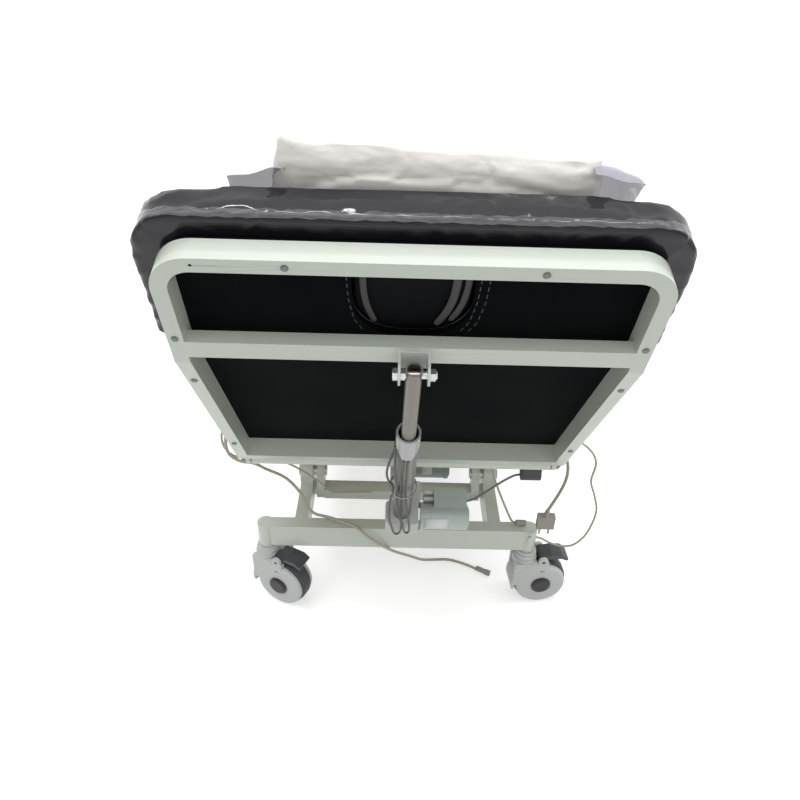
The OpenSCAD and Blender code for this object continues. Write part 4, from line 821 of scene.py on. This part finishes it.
def tie_ring(looks):
    """Clear band that holds the slack loops against the fixed tube."""
    rings = []
    middle = Vector((-0.002, -0.0045, 0.250))
    turns = [2 * math.pi * k / 48 for k in range(48)]
    for z, r in ((-0.006, 0.0222), (-0.0055, 0.0228), (0, 0.0230), (0.0055, 0.0228), (0.006, 0.0222)):
        circle = [Vector((r * math.cos(a), r * math.sin(a), z + 0.001 * math.sin(3 * a))) for a in turns]
        rings.append([DRIVE @ (middle + p) for p in circle])
    piece = piece_from("tie_ring", *skin(rings, capped=False), looks["film_thin"], "back_drive")
    thick = piece.modifiers.new("thick", "SOLIDIFY")
    thick.thickness = 0.0012


def make_trim(looks):
    """The labels, stitches, straps, tie ring and strain reliefs."""
    can = DRIVE @ Matrix.Translation((0, 0, 0.072))
    curved_patch("motor_label", can, x0=0.041, x1=0.090, radius=0.0253, a0=0, a1=62,
                 material=looks["label"], body="back_drive")
    lift_can = LIFT @ Matrix.Translation((0, 0.056, -0.016))
    curved_patch("lift_motor_label", lift_can, x0=0.052, x1=0.076, radius=0.0232, a0=0, a1=60,
                 material=looks["label"], body="base")
    left = [(-0.0790, -0.158), (-0.0800, -0.125), (-0.0785, -0.085), (-0.0720, -0.050), (-0.060, -0.030)]
    stitch_line("stitch_left", left, looks["thread"], HEAD, "backrest")
    stitch_line("stitch_right", [(-x, y) for x, y in left], looks["thread"], HEAD, "backrest")
    stitch_line("stitch_outer", [(-x + 0.010, y) for x, y in left], looks["thread"], HEAD, "backrest")
    z = RAIL_D + 0.0062
    strap("strap_left", [(-0.060, -0.157, z), (-0.061, -0.130, z + 0.0008), (-0.061, -0.095, z + 0.0004),
                         (-0.057, -0.065, z + 0.001), (-0.046, -0.040, z + 0.0004)], 0.009, looks["strap"])
    strap("strap_middle", [(0.052, -0.157, z), (0.053, -0.130, z + 0.001), (0.052, -0.095, z + 0.0002),
                           (0.046, -0.062, z + 0.001), (0.030, -0.036, z + 0.0006)], 0.011, looks["strap"])
    strap("strap_right", [(0.067, -0.157, z), (0.067, -0.130, z + 0.0006), (0.066, -0.095, z + 0.0012),
                          (0.060, -0.066, z + 0.0004), (0.048, -0.044, z + 0.001)], 0.009, looks["strap"])
    tie_ring(looks)
    tapered_sleeve("mains_relief", at=(0.060, 0.5522, 0.431), towards=(0.1, 1, 0.02), r0=0.0065, r1=0.0042,
                   length=0.030, material=looks["mains"], body="seat")
    tapered_sleeve("control_relief", at=(-0.2774, -0.395, 0.470), towards=(-1, 0.08, 0.24), r0=0.0062,
                   r1=0.0040, length=0.022, material=looks["beige"], body="base")


# Light and ground

def make_stage():
    """Pale floor that keeps the object's shadow, an even white surround and plain soft light."""
    bpy.ops.mesh.primitive_plane_add(size=80, location=(0, 0, -0.0005))
    floor = bpy.context.object
    floor.name = "floor"
    material = bpy.data.materials.new("floor")
    material.use_nodes = True
    tree = material.node_tree
    tree.nodes.clear()
    rays = add(tree, "ShaderNodeLightPath")
    seen = add(tree, "ShaderNodeMath", {0: rays.outputs["Is Camera Ray"], 1: rays.outputs["Is Glossy Ray"]},
               operation="MAXIMUM").outputs[0]
    matte = add(tree, "ShaderNodeBsdfDiffuse", {"Color": (0.86, 0.86, 0.86, 1)})
    dull = add(tree, "ShaderNodeBsdfDiffuse", {"Color": (0.52, 0.54, 0.52, 1)})
    glow = add(tree, "ShaderNodeEmission", {"Color": (1, 1, 1, 1), "Strength": 0.48})
    both = add(tree, "ShaderNodeAddShader", {0: matte.outputs[0], 1: glow.outputs[0]})
    mix = add(tree, "ShaderNodeMixShader", {0: seen, 1: dull.outputs[0], 2: both.outputs[0]})
    add(tree, "ShaderNodeOutputMaterial", {"Surface": mix.outputs[0]})
    floor.data.materials.append(material)

    world = bpy.data.worlds.new("world")
    bpy.context.scene.world = world
    world.use_nodes = True
    tree = world.node_tree
    tree.nodes.clear()
    rays = add(tree, "ShaderNodeLightPath")
    seen = add(tree, "ShaderNodeMath",
               {0: rays.outputs["Is Camera Ray"], 1: rays.outputs["Is Transmission Ray"]},
               operation="MAXIMUM").outputs[0]
    clear = add(tree, "ShaderNodeMath", {0: seen, 1: rays.outputs["Is Glossy Ray"]},
                operation="MAXIMUM").outputs[0]
    power = add(tree, "ShaderNodeMapRange",
                {"Value": clear, "To Min": 0.74, "To Max": 1.0}).outputs["Result"]
    sky = add(tree, "ShaderNodeBackground", {"Color": (1, 1, 1, 1), "Strength": power})
    add(tree, "ShaderNodeOutputWorld", {"Surface": sky.outputs[0]})

    suns = (("key", 0.95, 35, (16, -8, -22)), ("fill", 0.2, 60, (62, 6, 40)))
    for name, energy, angle, tilt in suns:
        data = bpy.data.lights.new(name, "SUN")
        data.energy = energy
        data.angle = math.radians(angle)
        lamp = bpy.data.objects.new(name, data)
        lamp.rotation_euler = [math.radians(a) for a in tilt]
        bpy.context.scene.collection.objects.link(lamp)
    strips = ((-0.15, -0.35, 0.9), (0.75, -0.5, 0.5))
    strip_height, strip_width = 2.6, 0.10
    for i, (x, y, length) in enumerate(strips):
        data = bpy.data.lights.new(f"strip_{i}", "AREA")
        data.shape = "RECTANGLE"
        data.size = length
        data.size_y = strip_width
        data.energy = 9
        lamp = bpy.data.objects.new(f"strip_{i}", data)
        lamp.location = (x, y, strip_height)
        bpy.context.scene.collection.objects.link(lamp)


bpy.context.scene.view_settings.view_transform = "Standard"
make_camera()
looks = make_materials()
make_leads(looks)
dress_nodes(looks)
make_stage()
back = cushion("back_cushion_soft", back_rings(), HEAD, "backrest", "back_cushion", looks, low=FOAM_Z,
               voxel=0.008)
cut_face_hole(back)
cushion("seat_cushion_soft", seat_rings(), SEAT, "seat", "seat_cushion", looks, low=SEAT_FOAM_Z,
        voxel=0.010)
make_face_plug(looks)
make_pillow(looks)
film_lobe("bag_end_right", side=1, reach=0.044, height=0.058, y0=-0.10, y1=-0.250, looks=looks)
film_lobe("bag_end_left", side=-1, reach=0.050, height=0.020, y0=-0.05, y1=-0.225, looks=looks)
film_band("film_edge", x0=-0.333, x1=0.333, z0=0.033, z1=0.051, looks=looks)
make_trim(looks)
